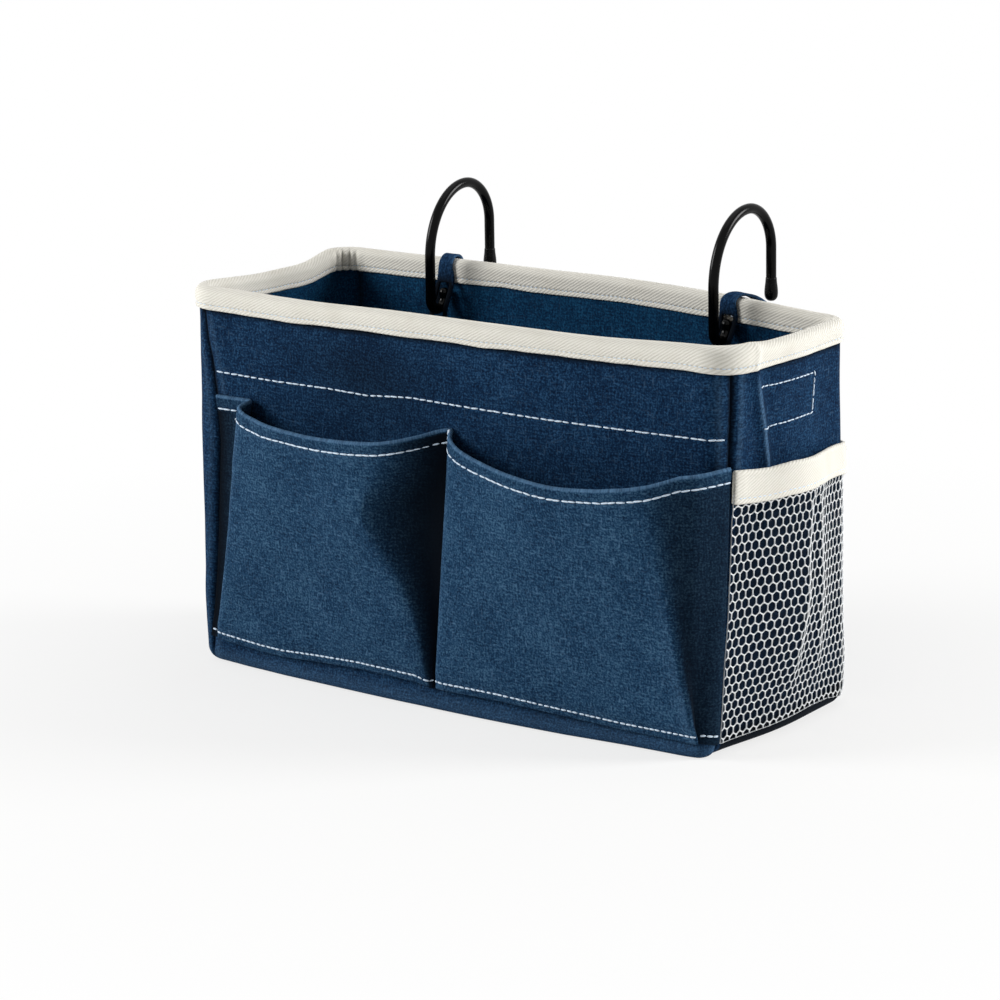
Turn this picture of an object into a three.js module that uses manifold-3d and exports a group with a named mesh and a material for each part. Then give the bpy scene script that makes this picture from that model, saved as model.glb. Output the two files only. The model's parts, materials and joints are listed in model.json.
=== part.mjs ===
// Bedside caddy: a stiffened cloth box with two front pockets, a side net and two swinging wire hooks.
// Millimetres. X runs along the front, -Y is the front, +Z is up, and the base stands on Z = 0.
import * as THREE from "three";
import { mergeVertices } from "three/addons/utils/BufferGeometryUtils.js";
import Module from "manifold-3d";

const wasm = await Module();
wasm.setup();

// Overall box: rectangular at the base, opened and skewed a little at the soft rim.
const height = 180;
const baseWidth = 292;
const baseDepth = 116;
const rimWidth = 300;
const rimDepthLeft = 116;
const rimDepthRight = 94;
const rimShiftY = 1.2;
const cornerRadius = { base: 13, rim: 13 };
const frontLeftRadius = { base: 7, rim: 13 };
const frontRightRadius = { base: 7, rim: 17 };
const baseCurl = 7;

// Outward bow of each wall at the base and at the rim.
const frontBow = { base: 5, rim: 2 };
const rightBow = { base: 3, rim: 1 };
const backBow = { base: 2, rim: 2 };
const leftBow = { base: 3, rim: 1 };

// Rise of the soft rim above its height, at even steps along each wall; it begins part way up the wall.
const riseStart = 110;
const frontRise = [0.7, -0.4, 0.3, 0, -0.2, 1.7];
const rightRise = [1.7, 0.2, 0, 0, 0.2, 0.6];
const backRise = [0.6, 3.2, 4, 3.1, 2.6, 1.8];
const leftRise = [1.8, -2, -2.4, -2.1, -0.7, 0.7];

// How far the front cloth goes round the front right corner before its seam.
const frontSeamWrap = 0.75;

// Wall layers, from the outside in.
const clearance = 0.3;
const clothThickness = 1;
const boardThickness = 2;
const liningThickness = 0.8;
const wallDrop = 2.5;
const boardDrop = 1;
const wallTop = height - wallDrop;
const boardInset = clothThickness + clearance;
const liningInset = boardInset + boardThickness + clearance;
const wallThickness = liningInset + liningThickness;
const boardBottom = baseCurl + 1;
const liningBottom = clothThickness + boardThickness + 3 * clearance;
const boardMargin = 0.01;

// Heights of the rows that shape the wall layers.
const clothRows = [164, 146, riseStart, 70, 30];
const innerRows = [160, 140, riseStart, 60];

// Twill tape folded over the rim.
const tapeThickness = 1;
const bindingOuterLeg = 10;
const bindingInnerLeg = 10;

// Front pockets.
const pocketThickness = 1.2;
const pocketSeat = 0.6;
const pocketBottomLeft = 13;
const pocketBottomRight = 9;
const pocketTop = 128;
const pocketSeamBottomX = -1.4;
const pocketSeamTopX = 3;
const leftPocketBulge = 22;
const rightPocketBulge = 25;
const leftHemDip = 5;
const rightHemDip = 12;
const pocketBottomBulge = 3;
const pocketSewnShare = 0.12;
const pocketRows = 9;
const pocketColumns = 26;

// Pleats of the two bays as sections along the hem and the foot: share across and share of the bulge.
// The folds lean from the foot to the hem; the last one bends by the given power.
const leftPleats = {
  hem: [
    [0, 0], [0.07, 0.01], [0.15, 0.02], [0.18, 0.1], [0.2, 0.36], [0.23, 0.5], [0.28, 0.62],
    [0.36, 0.74], [0.53, 0.9], [0.68, 1], [0.78, 0.96], [0.825, 0.78], [0.92, 0.22], [1, 0],
  ],
  foot: [
    [0, 0], [0.01, 0.02], [0.02, 0.1], [0.03, 0.4], [0.045, 0.75], [0.065, 0.95], [0.12, 1],
    [0.22, 1], [0.46, 1], [0.72, 1], [0.92, 1], [0.96, 0.8], [0.982, 0.3], [1, 0],
  ],
  bend: 1.4,
};
const rightPleats = {
  hem: [
    [0, 0], [0.015, 0.12], [0.04, 0.36], [0.095, 0.52], [0.185, 0.68], [0.32, 0.86], [0.486, 0.98],
    [0.65, 0.96], [0.76, 0.86], [0.82, 0.76], [0.856, 0.62], [0.91, 0.32], [0.96, 0.1], [1, 0],
  ],
  foot: [
    [0, 0], [0.01, 0.2], [0.022, 0.55], [0.04, 0.85], [0.08, 1], [0.17, 1], [0.32, 1],
    [0.5, 1], [0.74, 1], [0.9, 1], [0.94, 0.9], [0.96, 0.55], [0.98, 0.2], [1, 0],
  ],
  bend: 1.7,
};

// Side net and its tape.
const netThickness = 0.8;
const netBottom = baseCurl / 2;
const netSeat = 0.7;
const netBulge = 7;
const netTapeTopFront = 126.5;
const netTapeTopBack = 125.5;
const netTapeWidth = 14;
const netColumns = 12;
const netRows = 14;
const netStrand = 1.1;
const netTuck = 4;
const netSlack = 0.5;
const netTop = netTapeTopFront - netTapeWidth + netTuck;
const netSeamGap = 0.15;
const netFrontEdge = frontSeamWrap + netSeamGap;
const netBackEdge = 0.985;
const netBulgeShare = 0.82;

// Wire hooks and the tape loops that hold them.
const leftHook = { x: -80.5, pivotHeight: 163.3, slant: 0 };
const rightHook = { x: 86.5, pivotHeight: 166.7, slant: 16 };
const wireRadius = 2.4;
const coreRadius = 1.7;
const heelRadius = 5.2;
const heelReturn = 2;
const archWidth = 46.5;
const archHeight = 52.4;
const archFront = { width: 27.7, height: 33 };
const archBackHeight = 20.6;
const tipDrop = 45.5;
const tipLength = 11;
const tipRadius = 3.15;
const pivotInset = 13.6;
const loopThickness = 1.2;
const loopWidth = 7.5;
const eyeWidth = 10.8;
const eyeClearance = 0.4;
const loopBackEnd = 150;
const eyeBar = 3.4;
const eyeLean = 0.2;
const loopRows = 35;
const loopColumns = 5;
const loopCrestGap = 0.15;
const loopFlatBelow = 5;
const loopLip = 0.5;
const loopInnerLip = 1;
const loopBends = [{ lean: 0.35, drop: 0.3 }, { lean: 0.85, drop: 0.7 }];
const eyeWidening = { from: 0.55, to: 0.75 };
const slantEnd = { from: 0.36, to: 0.62 };

// Round of the hook tip, as shares of its radius with heights, and the number of sides of the wire.
const tipRound = [
  { share: 0.5, z: 0.35 },
  { share: 0.87, z: 1.5 },
  { share: 1, z: 3.2 },
  { share: 0.93, z: 6 },
];
const tipLip = { over: 0.1, drop: 1.5 };
const wireSides = 12;
const heelSteps = 11;
const archSteps = 19;
const wireEnd = { from: Math.PI / 2 - 0.15, to: 0.4, steps: 3 };

const lerp = THREE.MathUtils.lerp;
const smooth = THREE.MathUtils.smoothstep;
const range = (count) => Array.from({ length: count }, (_, i) => i);
const spread = (from, to, count) => range(count).map((i) => lerp(from, to, i / (count - 1)));

const walls = [frontBow, rightBow, backBow, leftBow];
const cornerRadii = [frontLeftRadius, frontRightRadius, cornerRadius, cornerRadius];
const leastRadius = 0.6;
const riseCurves = [frontRise, rightRise, backRise, leftRise].map((rises) => {
  return new THREE.SplineCurve(rises.map((rise, i) => new THREE.Vector2(i, rise)));
});
const baseCorners = [
  new THREE.Vector2(-baseWidth / 2, -baseDepth / 2),
  new THREE.Vector2(baseWidth / 2, -baseDepth / 2),
  new THREE.Vector2(baseWidth / 2, baseDepth / 2),
  new THREE.Vector2(-baseWidth / 2, baseDepth / 2),
];
const rimCorners = [
  new THREE.Vector2(-rimWidth / 2, rimShiftY - rimDepthLeft / 2),
  new THREE.Vector2(rimWidth / 2, rimShiftY - rimDepthRight / 2),
  new THREE.Vector2(rimWidth / 2, rimShiftY + rimDepthRight / 2),
  new THREE.Vector2(-rimWidth / 2, rimShiftY + rimDepthLeft / 2),
];

// Rounded outline of the box at one height, moved inwards by an inset.
function outlineAt(z, inset) {
  const level = z / height;
  const corners = range(4).map((i) => baseCorners[i].clone().lerp(rimCorners[i], level));
  const along = range(4).map((i) => corners[(i + 1) % 4].clone().sub(corners[i]).normalize());
  const outward = along.map((d) => new THREE.Vector2(d.y, -d.x));
  const moved = range(4).map((i) => {
    const before = (i + 3) % 4;
    const cross = along[before].cross(along[i]);
    const dot = along[before].dot(along[i]);
    const shift = (1 - dot) / cross;
    return corners[i].clone().addScaledVector(outward[i], -inset).addScaledVector(along[i], inset * shift);
  });
  const radii = cornerRadii.map((r) => Math.max(lerp(r.base, r.rim, level) - inset, leastRadius));
  const tangents = range(4).map((i) => {
    const turn = Math.acos(along[(i + 3) % 4].dot(along[i]));
    return radii[i] * Math.tan(turn / 2);
  });
  return { moved, along, outward, radii, tangents };
}

// Start and end of the straight part of one wall.
function straightOf(outline, side) {
  const next = (side + 1) % 4;
  const start = outline.moved[side].clone().addScaledVector(outline.along[side], outline.tangents[side]);
  const end = outline.moved[next].clone().addScaledVector(outline.along[side], -outline.tangents[next]);
  return { start, end };
}

// Point of the wall at a station: u along a straight side, or w round the corner after it.
function wallPoint(station, z, inset) {
  const outline = outlineAt(z, inset);
  const side = station.side;
  const next = (side + 1) % 4;
  const { start, end } = straightOf(outline, side);
  const climb = (Math.max(z - riseStart, 0) / (height - riseStart)) ** 2;
  if (station.w === undefined) {
    const wave = Math.sin(Math.PI * station.u) ** 2;
    const bow = lerp(walls[side].base, walls[side].rim, z / height) * wave;
    const rise = riseCurves[side].getPoint(station.u).y;
    const p = start.lerp(end, station.u).addScaledVector(outline.outward[side], bow);
    return new THREE.Vector3(p.x, p.y, z + rise * climb);
  }
  const radius = outline.radii[next];
  const turn = outline.outward[side].angleTo(outline.outward[next]) * station.w;
  const arm = outline.outward[side].clone().multiplyScalar(radius);
  const centre = end.sub(arm);
  const p = centre.add(arm.rotateAround(new THREE.Vector2(), turn));
  const rise = riseCurves[next].getPoint(0).y;
  return new THREE.Vector3(p.x, p.y, z + rise * climb);
}

// Stations of one wall, and of the wall with the two corners beside it.
const seam = 0.0015;
const cornerSeam = 10 * seam;
const cornerCount = 4;
const cornerFirst = 0.2;
const cornerLast = 0.8;
const longCount = 13;
const shortCount = 9;
function straightStations(side, from, to) {
  const count = side % 2 === 0 ? longCount : shortCount;
  return spread(from, to, count).map((u) => ({ side, u }));
}
function cornerStations(side, from, to, count = cornerCount) {
  return spread(from, to, count).map((w) => ({ side, w }));
}
const frontStations = [
  ...straightStations(0, seam, 1),
  ...cornerStations(0, frontSeamWrap / 3, frontSeamWrap - 2 * cornerSeam, 3),
];
const rightStations = [
  ...cornerStations(0, frontSeamWrap + 2 * cornerSeam, (1 + frontSeamWrap) / 2, 2),
  ...straightStations(1, 0, 1),
  ...cornerStations(1, cornerFirst, 1 - cornerSeam),
];
const backStations = straightStations(2, seam, 1 - seam);
const leftStations = [
  ...cornerStations(2, cornerSeam, cornerLast),
  ...straightStations(3, 0, 1),
  ...cornerStations(3, cornerFirst, 1 - cornerSeam),
];
const panelStations = [frontStations, rightStations, backStations, leftStations];
const ringStations = range(4).flatMap((side) => [
  ...straightStations(side, 0, 1),
  ...cornerStations(side, cornerFirst, cornerLast),
]);

function geometryOf(points, faces) {
  const geometry = new THREE.BufferGeometry();
  const numbers = points.flatMap((p) => p.toArray());
  geometry.setAttribute("position", new THREE.Float32BufferAttribute(numbers, 3));
  geometry.setIndex(faces);
  geometry.computeVertexNormals();
  return geometry;
}

// A closed sheet between an outer and an inner grid; rows run down and columns run to the right.
function sheetGeometry(rows, columns, outer, inner) {
  const grid = (spot) => range(rows * columns).map((k) => spot(Math.floor(k / columns), k % columns));
  const points = [...grid(outer), ...grid(inner)];
  const faces = [];
  const out = (i, j) => i * columns + j;
  const back = (i, j) => (rows + i) * columns + j;
  const quad = (a, b, c, d) => faces.push(a, b, c, a, c, d);
  for (let i = 0; i + 1 < rows; i++) {
    for (let j = 0; j + 1 < columns; j++) {
      quad(out(i, j), out(i + 1, j), out(i + 1, j + 1), out(i, j + 1));
      quad(back(i, j), back(i, j + 1), back(i + 1, j + 1), back(i + 1, j));
    }
    quad(out(i + 1, 0), out(i, 0), back(i, 0), back(i + 1, 0));
    quad(out(i, columns - 1), out(i + 1, columns - 1), back(i + 1, columns - 1), back(i, columns - 1));
  }
  for (let j = 0; j + 1 < columns; j++) {
    quad(out(0, j), out(0, j + 1), back(0, j + 1), back(0, j));
    quad(out(rows - 1, j + 1), out(rows - 1, j), back(rows - 1, j), back(rows - 1, j + 1));
  }
  return geometryOf(points, faces);
}

// A closed profile carried along stations; an open run is closed by flat caps over the given contour.
function sweepGeometry(profileCount, stationCount, point, capContour) {
  const points = range(stationCount).flatMap((j) => range(profileCount).map((k) => point(k, j)));
  const faces = [];
  const at = (k, j) => (j % stationCount) * profileCount + (k % profileCount);
  const runs = capContour ? stationCount - 1 : stationCount;
  for (let j = 0; j < runs; j++) {
    for (let k = 0; k < profileCount; k++) {
      faces.push(at(k, j), at(k + 1, j), at(k + 1, j + 1));
      faces.push(at(k, j), at(k + 1, j + 1), at(k, j + 1));
    }
  }
  if (capContour) {
    const caps = THREE.ShapeUtils.triangulateShape(capContour, []);
    const turned = THREE.ShapeUtils.isClockWise(capContour);
    for (const [a, b, c] of caps) {
      const first = turned ? [a, b, c] : [a, c, b];
      faces.push(...first.map((k) => at(k, 0)));
      faces.push(...first.reverse().map((k) => at(k, stationCount - 1)));
    }
  }
  return geometryOf(points, faces);
}

function solidOf(geometry) {
  const plain = geometry.clone();
  plain.deleteAttribute("normal");
  plain.deleteAttribute("uv");
  const merged = mergeVertices(plain, 1e-4);
  const triVerts = new Uint32Array(merged.index.array);
  const vertProperties = merged.attributes.position.array;
  return new wasm.Manifold(new wasm.Mesh({ numProp: 3, vertProperties, triVerts }));
}

function geometryFrom(solid) {
  const mesh = solid.getMesh();
  const geometry = new THREE.BufferGeometry();
  geometry.setAttribute("position", new THREE.BufferAttribute(mesh.vertProperties, 3));
  geometry.setIndex(new THREE.BufferAttribute(mesh.triVerts, 1));
  geometry.computeVertexNormals();
  return geometry;
}

const finishes = {
  cloth: { color: 0x213d61, roughness: 0.92, metalness: 0 },
  lining: { color: 0x1c3454, roughness: 0.92, metalness: 0 },
  board: { color: 0xd8d3c6, roughness: 0.7, metalness: 0 },
  tape: { color: 0xe6e3da, roughness: 0.9, metalness: 0 },
  net: { color: 0xf1f1ef, roughness: 0.7, metalness: 0 },
  wire: { color: 0x0b0b0c, roughness: 0.25, metalness: 0 },
  tip: { color: 0x101011, roughness: 0.35, metalness: 0 },
};
const caddy = new THREE.Group();
caddy.name = "bedside_caddy";
function addMesh(parent, name, geometry, finish) {
  const mesh = new THREE.Mesh(geometry, new THREE.MeshStandardMaterial(finishes[finish]));
  mesh.name = name;
  parent.add(mesh);
  return mesh;
}

// Outer cloth: straight down the wall, then turned under the base.
const clothLevels = [wallTop, ...clothRows, baseCurl];
const curlAngles = spread(0, Math.PI / 2, 4).slice(1);
function clothRow(row, depth) {
  if (row < clothLevels.length) return { z: clothLevels[row], inset: depth };
  const angle = curlAngles[row - clothLevels.length];
  const reach = baseCurl - depth;
  return { z: baseCurl - reach * Math.sin(angle), inset: baseCurl - reach * Math.cos(angle) };
}
function clothPanel(stations) {
  const rows = clothLevels.length + curlAngles.length;
  const layer = (depth) => (i, j) => {
    const row = clothRow(i, depth);
    return wallPoint(stations[j], row.z, row.inset);
  };
  return sheetGeometry(rows, stations.length, layer(0), layer(clothThickness));
}
function layerPanel(stations, levels, inset, thickness) {
  const layer = (depth) => (i, j) => wallPoint(stations[j], levels[i], depth);
  return sheetGeometry(levels.length, stations.length, layer(inset), layer(inset + thickness));
}
const boardLevels = [wallTop - boardDrop, ...innerRows, boardBottom];
const liningLevels = [wallTop, ...innerRows, liningBottom];
const sideNames = ["front", "right_side", "back", "left_side"];
const innerNames = ["front", "right", "back", "left"];
for (const side of range(4)) {
  const run = panelStations[side];
  addMesh(caddy, sideNames[side] + "_panel", clothPanel(run), "cloth");
  const boardRun = straightStations(side, boardMargin, 1 - boardMargin);
  const board = layerPanel(boardRun, boardLevels, boardInset, boardThickness);
  addMesh(caddy, innerNames[side] + "_board", board, "board");
  const lining = layerPanel(run, liningLevels, liningInset, liningThickness);
  addMesh(caddy, innerNames[side] + "_lining", lining, "lining");
}

// Floor layers: flat plates inside the turned-under cloth.
function floorPlate(inset, thickness) {
  const contour = ringStations.map((station) => wallPoint(station, 0, inset));
  const shape = new THREE.Shape(contour.map((p) => new THREE.Vector2(p.x, p.y)));
  return new THREE.ExtrudeGeometry(shape, { depth: thickness, bevelEnabled: false });
}
const baseBoardBottom = clothThickness + clearance;
const baseLiningBottom = baseBoardBottom + boardThickness + clearance;
addMesh(caddy, "base_panel", floorPlate(baseCurl + clearance, clothThickness), "cloth");
const baseBoard = floorPlate(baseCurl - 2 * clearance, boardThickness);
addMesh(caddy, "base_board", baseBoard, "board").position.z = baseBoardBottom;
const baseLining = floorPlate(wallThickness + clearance, liningThickness);
addMesh(caddy, "base_lining", baseLining, "lining").position.z = baseLiningBottom;

// Tape folded over an edge: the outside, the channel, the inside and the crest.
const crestAngles = spread(0, Math.PI, 7);
function foldedTape(channel, top, outerLeg, innerLeg) {
  const half = channel / 2 + clearance;
  const reach = half + tapeThickness;
  const roof = top - tapeThickness - clearance;
  const crest = crestAngles.map((a) => [reach * Math.cos(a), lerp(top - reach, top, Math.sin(a))]);
  return [
    [-reach, top - outerLeg],
    [-half, top - outerLeg],
    [-half, roof],
    [half, roof],
    [half, top - innerLeg],
    [reach, top - innerLeg],
    ...crest,
  ].map(([side, z]) => new THREE.Vector2(side + channel / 2, z));
}
const rimProfile = foldedTape(wallThickness, height, bindingOuterLeg, bindingInnerLeg);
const rimPoint = (k, j) => wallPoint(ringStations[j], rimProfile[k].y, rimProfile[k].x);
addMesh(caddy, "rim_binding", sweepGeometry(rimProfile.length, ringStations.length, rimPoint), "tape");

// Front pockets: a bulged cloth whose hem dips, flat along its bottom and side seams.
// Distance along the front from its left seam, at one height.
function frontStation(run, z) {
  const outline = outlineAt(z, 0);
  const { start, end } = straightOf(outline, 0);
  const straight = start.distanceTo(end);
  if (run < straight) return { side: 0, u: run / straight };
  return { side: 0, w: (run - straight) / ((outline.radii[1] * Math.PI) / 2) };
}
function frontRuns(z) {
  const outline = outlineAt(z, 0);
  const { start, end } = straightOf(outline, 0);
  const wrap = ((outline.radii[1] * Math.PI) / 2) * (frontSeamWrap - 4 * cornerSeam);
  const seamX = lerp(pocketSeamBottomX, pocketSeamTopX, z / pocketTop);
  return { left: seam, seam: seamX - start.x, right: start.distanceTo(end) + wrap };
}
function pocketBay(runsAt, bulge, dip, pleats, bottoms) {
  const columnsOf = (section) => {
    const curve = new THREE.SplineCurve(section.map(([across, full]) => new THREE.Vector2(across, full)));
    return curve.getPoints(pocketColumns);
  };
  const hem = columnsOf(pleats.hem);
  const foot = columnsOf(pleats.foot);
  const rowShares = spread(1, 0, pocketRows);
  const layer = (depth) => (i, j) => {
    const share = rowShares[i];
    const bend = share ** lerp(1, pleats.bend, j / pocketColumns);
    const across = THREE.MathUtils.clamp(lerp(foot[j].x, hem[j].x, bend), 0, 1);
    const hemFull = Math.max(hem[j].y, 0);
    const footFull = Math.max(foot[j].y, 0);
    const z = lerp(lerp(bottoms[0], bottoms[1], across), pocketTop - dip * hemFull, share);
    const low = pocketBottomBulge * smooth(share, 0, pocketSewnShare) * footFull;
    const offset = pocketSeat + pocketThickness - depth + lerp(low, bulge * hemFull, share);
    const [from, to] = runsAt(frontRuns(z));
    return wallPoint(frontStation(lerp(from, to, across), z), z, -offset);
  };
  return sheetGeometry(rowShares.length, hem.length, layer(0), layer(pocketThickness));
}
const seamGap = clearance / 2;
const pocketBottomMiddle = (pocketBottomLeft + pocketBottomRight) / 2;
const leftRuns = (runs) => [runs.left, runs.seam - seamGap];
const rightRuns = (runs) => [runs.seam + seamGap, runs.right];
const leftBottoms = [pocketBottomLeft, pocketBottomMiddle];
const rightBottoms = [pocketBottomMiddle, pocketBottomRight];
const leftBay = pocketBay(leftRuns, leftPocketBulge, leftHemDip, leftPleats, leftBottoms);
const rightBay = pocketBay(rightRuns, rightPocketBulge, rightHemDip, rightPleats, rightBottoms);
addMesh(caddy, "front_pocket_left", leftBay, "cloth");
addMesh(caddy, "front_pocket_right", rightBay, "cloth");

// Side net: share runs from the front seam, round both corners, to the back seam.
const sideShareLengths = (() => {
  const outline = outlineAt(pocketTop / 2, 0);
  const { start, end } = straightOf(outline, 1);
  const quarter = Math.PI / 2;
  return [outline.radii[1] * quarter, start.distanceTo(end), outline.radii[2] * quarter];
})();
const sideLength = sideShareLengths[0] + sideShareLengths[1] + sideShareLengths[2];
function sideStation(share) {
  const run = lerp(netFrontEdge * sideShareLengths[0], netBackEdge * sideLength, share);
  if (run < sideShareLengths[0]) return { side: 0, w: run / sideShareLengths[0] };
  const rest = run - sideShareLengths[0];
  if (rest < sideShareLengths[1]) return { side: 1, u: rest / sideShareLengths[1] };
  return { side: 1, w: (rest - sideShareLengths[1]) / sideShareLengths[2] };
}
const tapeTopAt = (share) => lerp(netTapeTopFront, netTapeTopBack, share);
function netOffset(share, z) {
  const across = Math.sin(Math.PI * Math.min(share / netBulgeShare, 1)) ** 2;
  const climb = THREE.MathUtils.clamp((z - netBottom) / (netTapeTopFront - netBottom), 0, 1);
  const tapeShare = smooth(z, netTop - 3 * netTuck, netTop - 2 * netTuck);
  const tapeRoom = (tapeThickness + clearance + netSlack) * tapeShare;
  return netSeat + tapeRoom + netBulge * across * smooth(climb, 0, 1 / 2);
}
// Honeycomb between zigzag lines: each cell is the ring between its six corners and a smaller hole.
function netSheet() {
  const cellHigh = (netTop - netBottom) / netRows;
  const columnSteps = 2 * netColumns + 1;
  const holeShare = 1 - (netStrand * (columnSteps / 2)) / sideLength;
  const points = [];
  const faces = [];
  const addSpot = (share, z) => {
    for (const depth of [netThickness, 0]) {
      points.push(wallPoint(sideStation(share), z, -netOffset(share, z) - depth));
    }
    return points.length - 2;
  };
  const zigzag = (line, m) => {
    if (line === 0 || line === netRows) return 0;
    return (line + m) % 2 === 0 ? cellHigh / 6 : -cellHigh / 6;
  };
  const flat = (line, m) => {
    return new THREE.Vector2(m / columnSteps, netBottom + cellHigh * line + zigzag(line, m));
  };
  const knots = range(netRows + 1).map((line) =>
    range(columnSteps + 1).map((m) => addSpot(flat(line, m).x, flat(line, m).y)),
  );
  const quad = (a, b, c, d) => faces.push(a, b, c, a, c, d);
  const twoSided = (a, b, c, d) => {
    quad(a, b, c, d);
    quad(d + 1, c + 1, b + 1, a + 1);
  };
  const wall = (a, b) => quad(a, a + 1, b + 1, b);
  for (let row = 0; row < netRows; row++) {
    const first = row % 2;
    const half = first === 0 ? columnSteps - 1 : 0;
    twoSided(knots[row][half], knots[row][half + 1], knots[row + 1][half + 1], knots[row + 1][half]);
    for (let column = 0; column < netColumns; column++) {
      const m = first + 2 * column;
      const lower = range(3).map((k) => [row, m + k]);
      const upper = range(3).map((k) => [row + 1, m + 2 - k]);
      const corners = [...lower, ...upper];
      const flats = corners.map(([line, step]) => flat(line, step));
      const middle = flats[1].clone().lerp(flats[4], 1 / 2);
      const hole = flats.map((f) => addSpot(...middle.clone().lerp(f, holeShare).toArray()));
      const rim = corners.map(([line, step]) => knots[line][step]);
      for (const k of range(6)) {
        const next = (k + 1) % 6;
        twoSided(rim[k], rim[next], hole[next], hole[k]);
        wall(hole[next], hole[k]);
      }
    }
    wall(knots[row + 1][0], knots[row][0]);
    wall(knots[row][columnSteps], knots[row + 1][columnSteps]);
  }
  for (const m of range(columnSteps)) {
    wall(knots[0][m], knots[0][m + 1]);
    wall(knots[netRows][m + 1], knots[netRows][m]);
  }
  return geometryOf(points, faces);
}
addMesh(caddy, "mesh_pocket", netSheet(), "net");
const netTapeProfile = foldedTape(netThickness + netSlack, 0, netTapeWidth, netTapeWidth);
const netTapeShares = spread(0, 1, 2 * netColumns + 2);
const netTapePoint = (k, j) => {
  const share = netTapeShares[j];
  const z = tapeTopAt(share) + netTapeProfile[k].y;
  const outside = netOffset(share, z) + netThickness + netSlack / 2;
  return wallPoint(sideStation(share), z, netTapeProfile[k].x - outside);
};
const netTape = sweepGeometry(netTapeProfile.length, netTapeShares.length, netTapePoint, netTapeProfile);
addMesh(caddy, "mesh_pocket_binding", netTape, "tape");

// Hook loops: tape sewn to the back panel, carried over the rim, ending in an eye round the wire.
function backStation(x, z, inset) {
  const { start, end } = straightOf(outlineAt(z, inset), 2);
  return { side: 2, u: (x - start.x) / (end.x - start.x) };
}
const backPoint = (x, z, inset) => wallPoint(backStation(x, z, inset), z, inset);
const halfLoop = loopThickness / 2;
const overBinding = clearance + tapeThickness + clearance + halfLoop;
const rimMiddle = wallThickness / 2;
const crestRadius = rimMiddle + overBinding + loopCrestGap;
const crestBase = height - rimMiddle - clearance - tapeThickness;
const crestRun = crestAngles.toReversed().map((a) => [
  rimMiddle + crestRadius * Math.cos(a),
  crestBase + crestRadius * Math.sin(a),
]);
const loopInside = rimMiddle + crestRadius;
function loopSpots(eyeBottom) {
  const innerEnd = height - bindingInnerLeg;
  const outerEnd = height - bindingOuterLeg;
  const bends = loopBends.map(({ lean, drop }) => [
    lerp(loopInside, pivotInset, lean),
    lerp(innerEnd, eyeBottom, drop),
  ]);
  const run = [
    [-clearance - halfLoop, loopBackEnd],
    [-clearance - halfLoop, outerEnd - loopFlatBelow],
    [rimMiddle - crestRadius, outerEnd + loopLip],
    ...crestRun,
    [loopInside, innerEnd + loopInnerLip],
    ...bends,
    [pivotInset, eyeBottom],
    [pivotInset + eyeLean, eyeBottom - eyeBar],
  ];
  const curve = new THREE.SplineCurve(run.map(([inset, z]) => new THREE.Vector2(inset, z)));
  return range(loopRows).map((i) => {
    const share = i / (loopRows - 1);
    return { spot: curve.getPointAt(share), tangent: curve.getTangentAt(share), share };
  });
}
function hookLoop(hook) {
  const heelBottom = hook.pivotHeight - heelRadius - wireRadius;
  const eyeBottom = heelBottom - eyeClearance;
  const spots = loopSpots(eyeBottom);
  const layer = (sign) => (i, j) => {
    const { spot, tangent, share } = spots[i];
    const inset = spot.x + sign * halfLoop * tangent.y;
    const z = spot.y - sign * halfLoop * tangent.x;
    const width = lerp(loopWidth, eyeWidth, smooth(share, eyeWidening.from, eyeWidening.to));
    const middle = hook.x + hook.slant * (1 - smooth(share, slantEnd.from, slantEnd.to));
    return backPoint(middle + width * (1 / 2 - j / (loopColumns - 1)), z, inset);
  };
  const strap = solidOf(sheetGeometry(loopRows, loopColumns, layer(1), layer(-1)));
  const pivot = backPoint(hook.x, hook.pivotHeight, pivotInset);
  const slotTop = hook.pivotHeight + heelReturn + 2 * wireRadius;
  const slotHigh = slotTop - eyeBottom;
  const slotBox = new THREE.BoxGeometry(2 * (wireRadius + eyeClearance), 4 * heelRadius, slotHigh);
  slotBox.translate(pivot.x, pivot.y, pivot.z + (slotTop + eyeBottom) / 2 - hook.pivotHeight);
  return geometryFrom(strap.subtract(solidOf(slotBox)));
}

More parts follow.
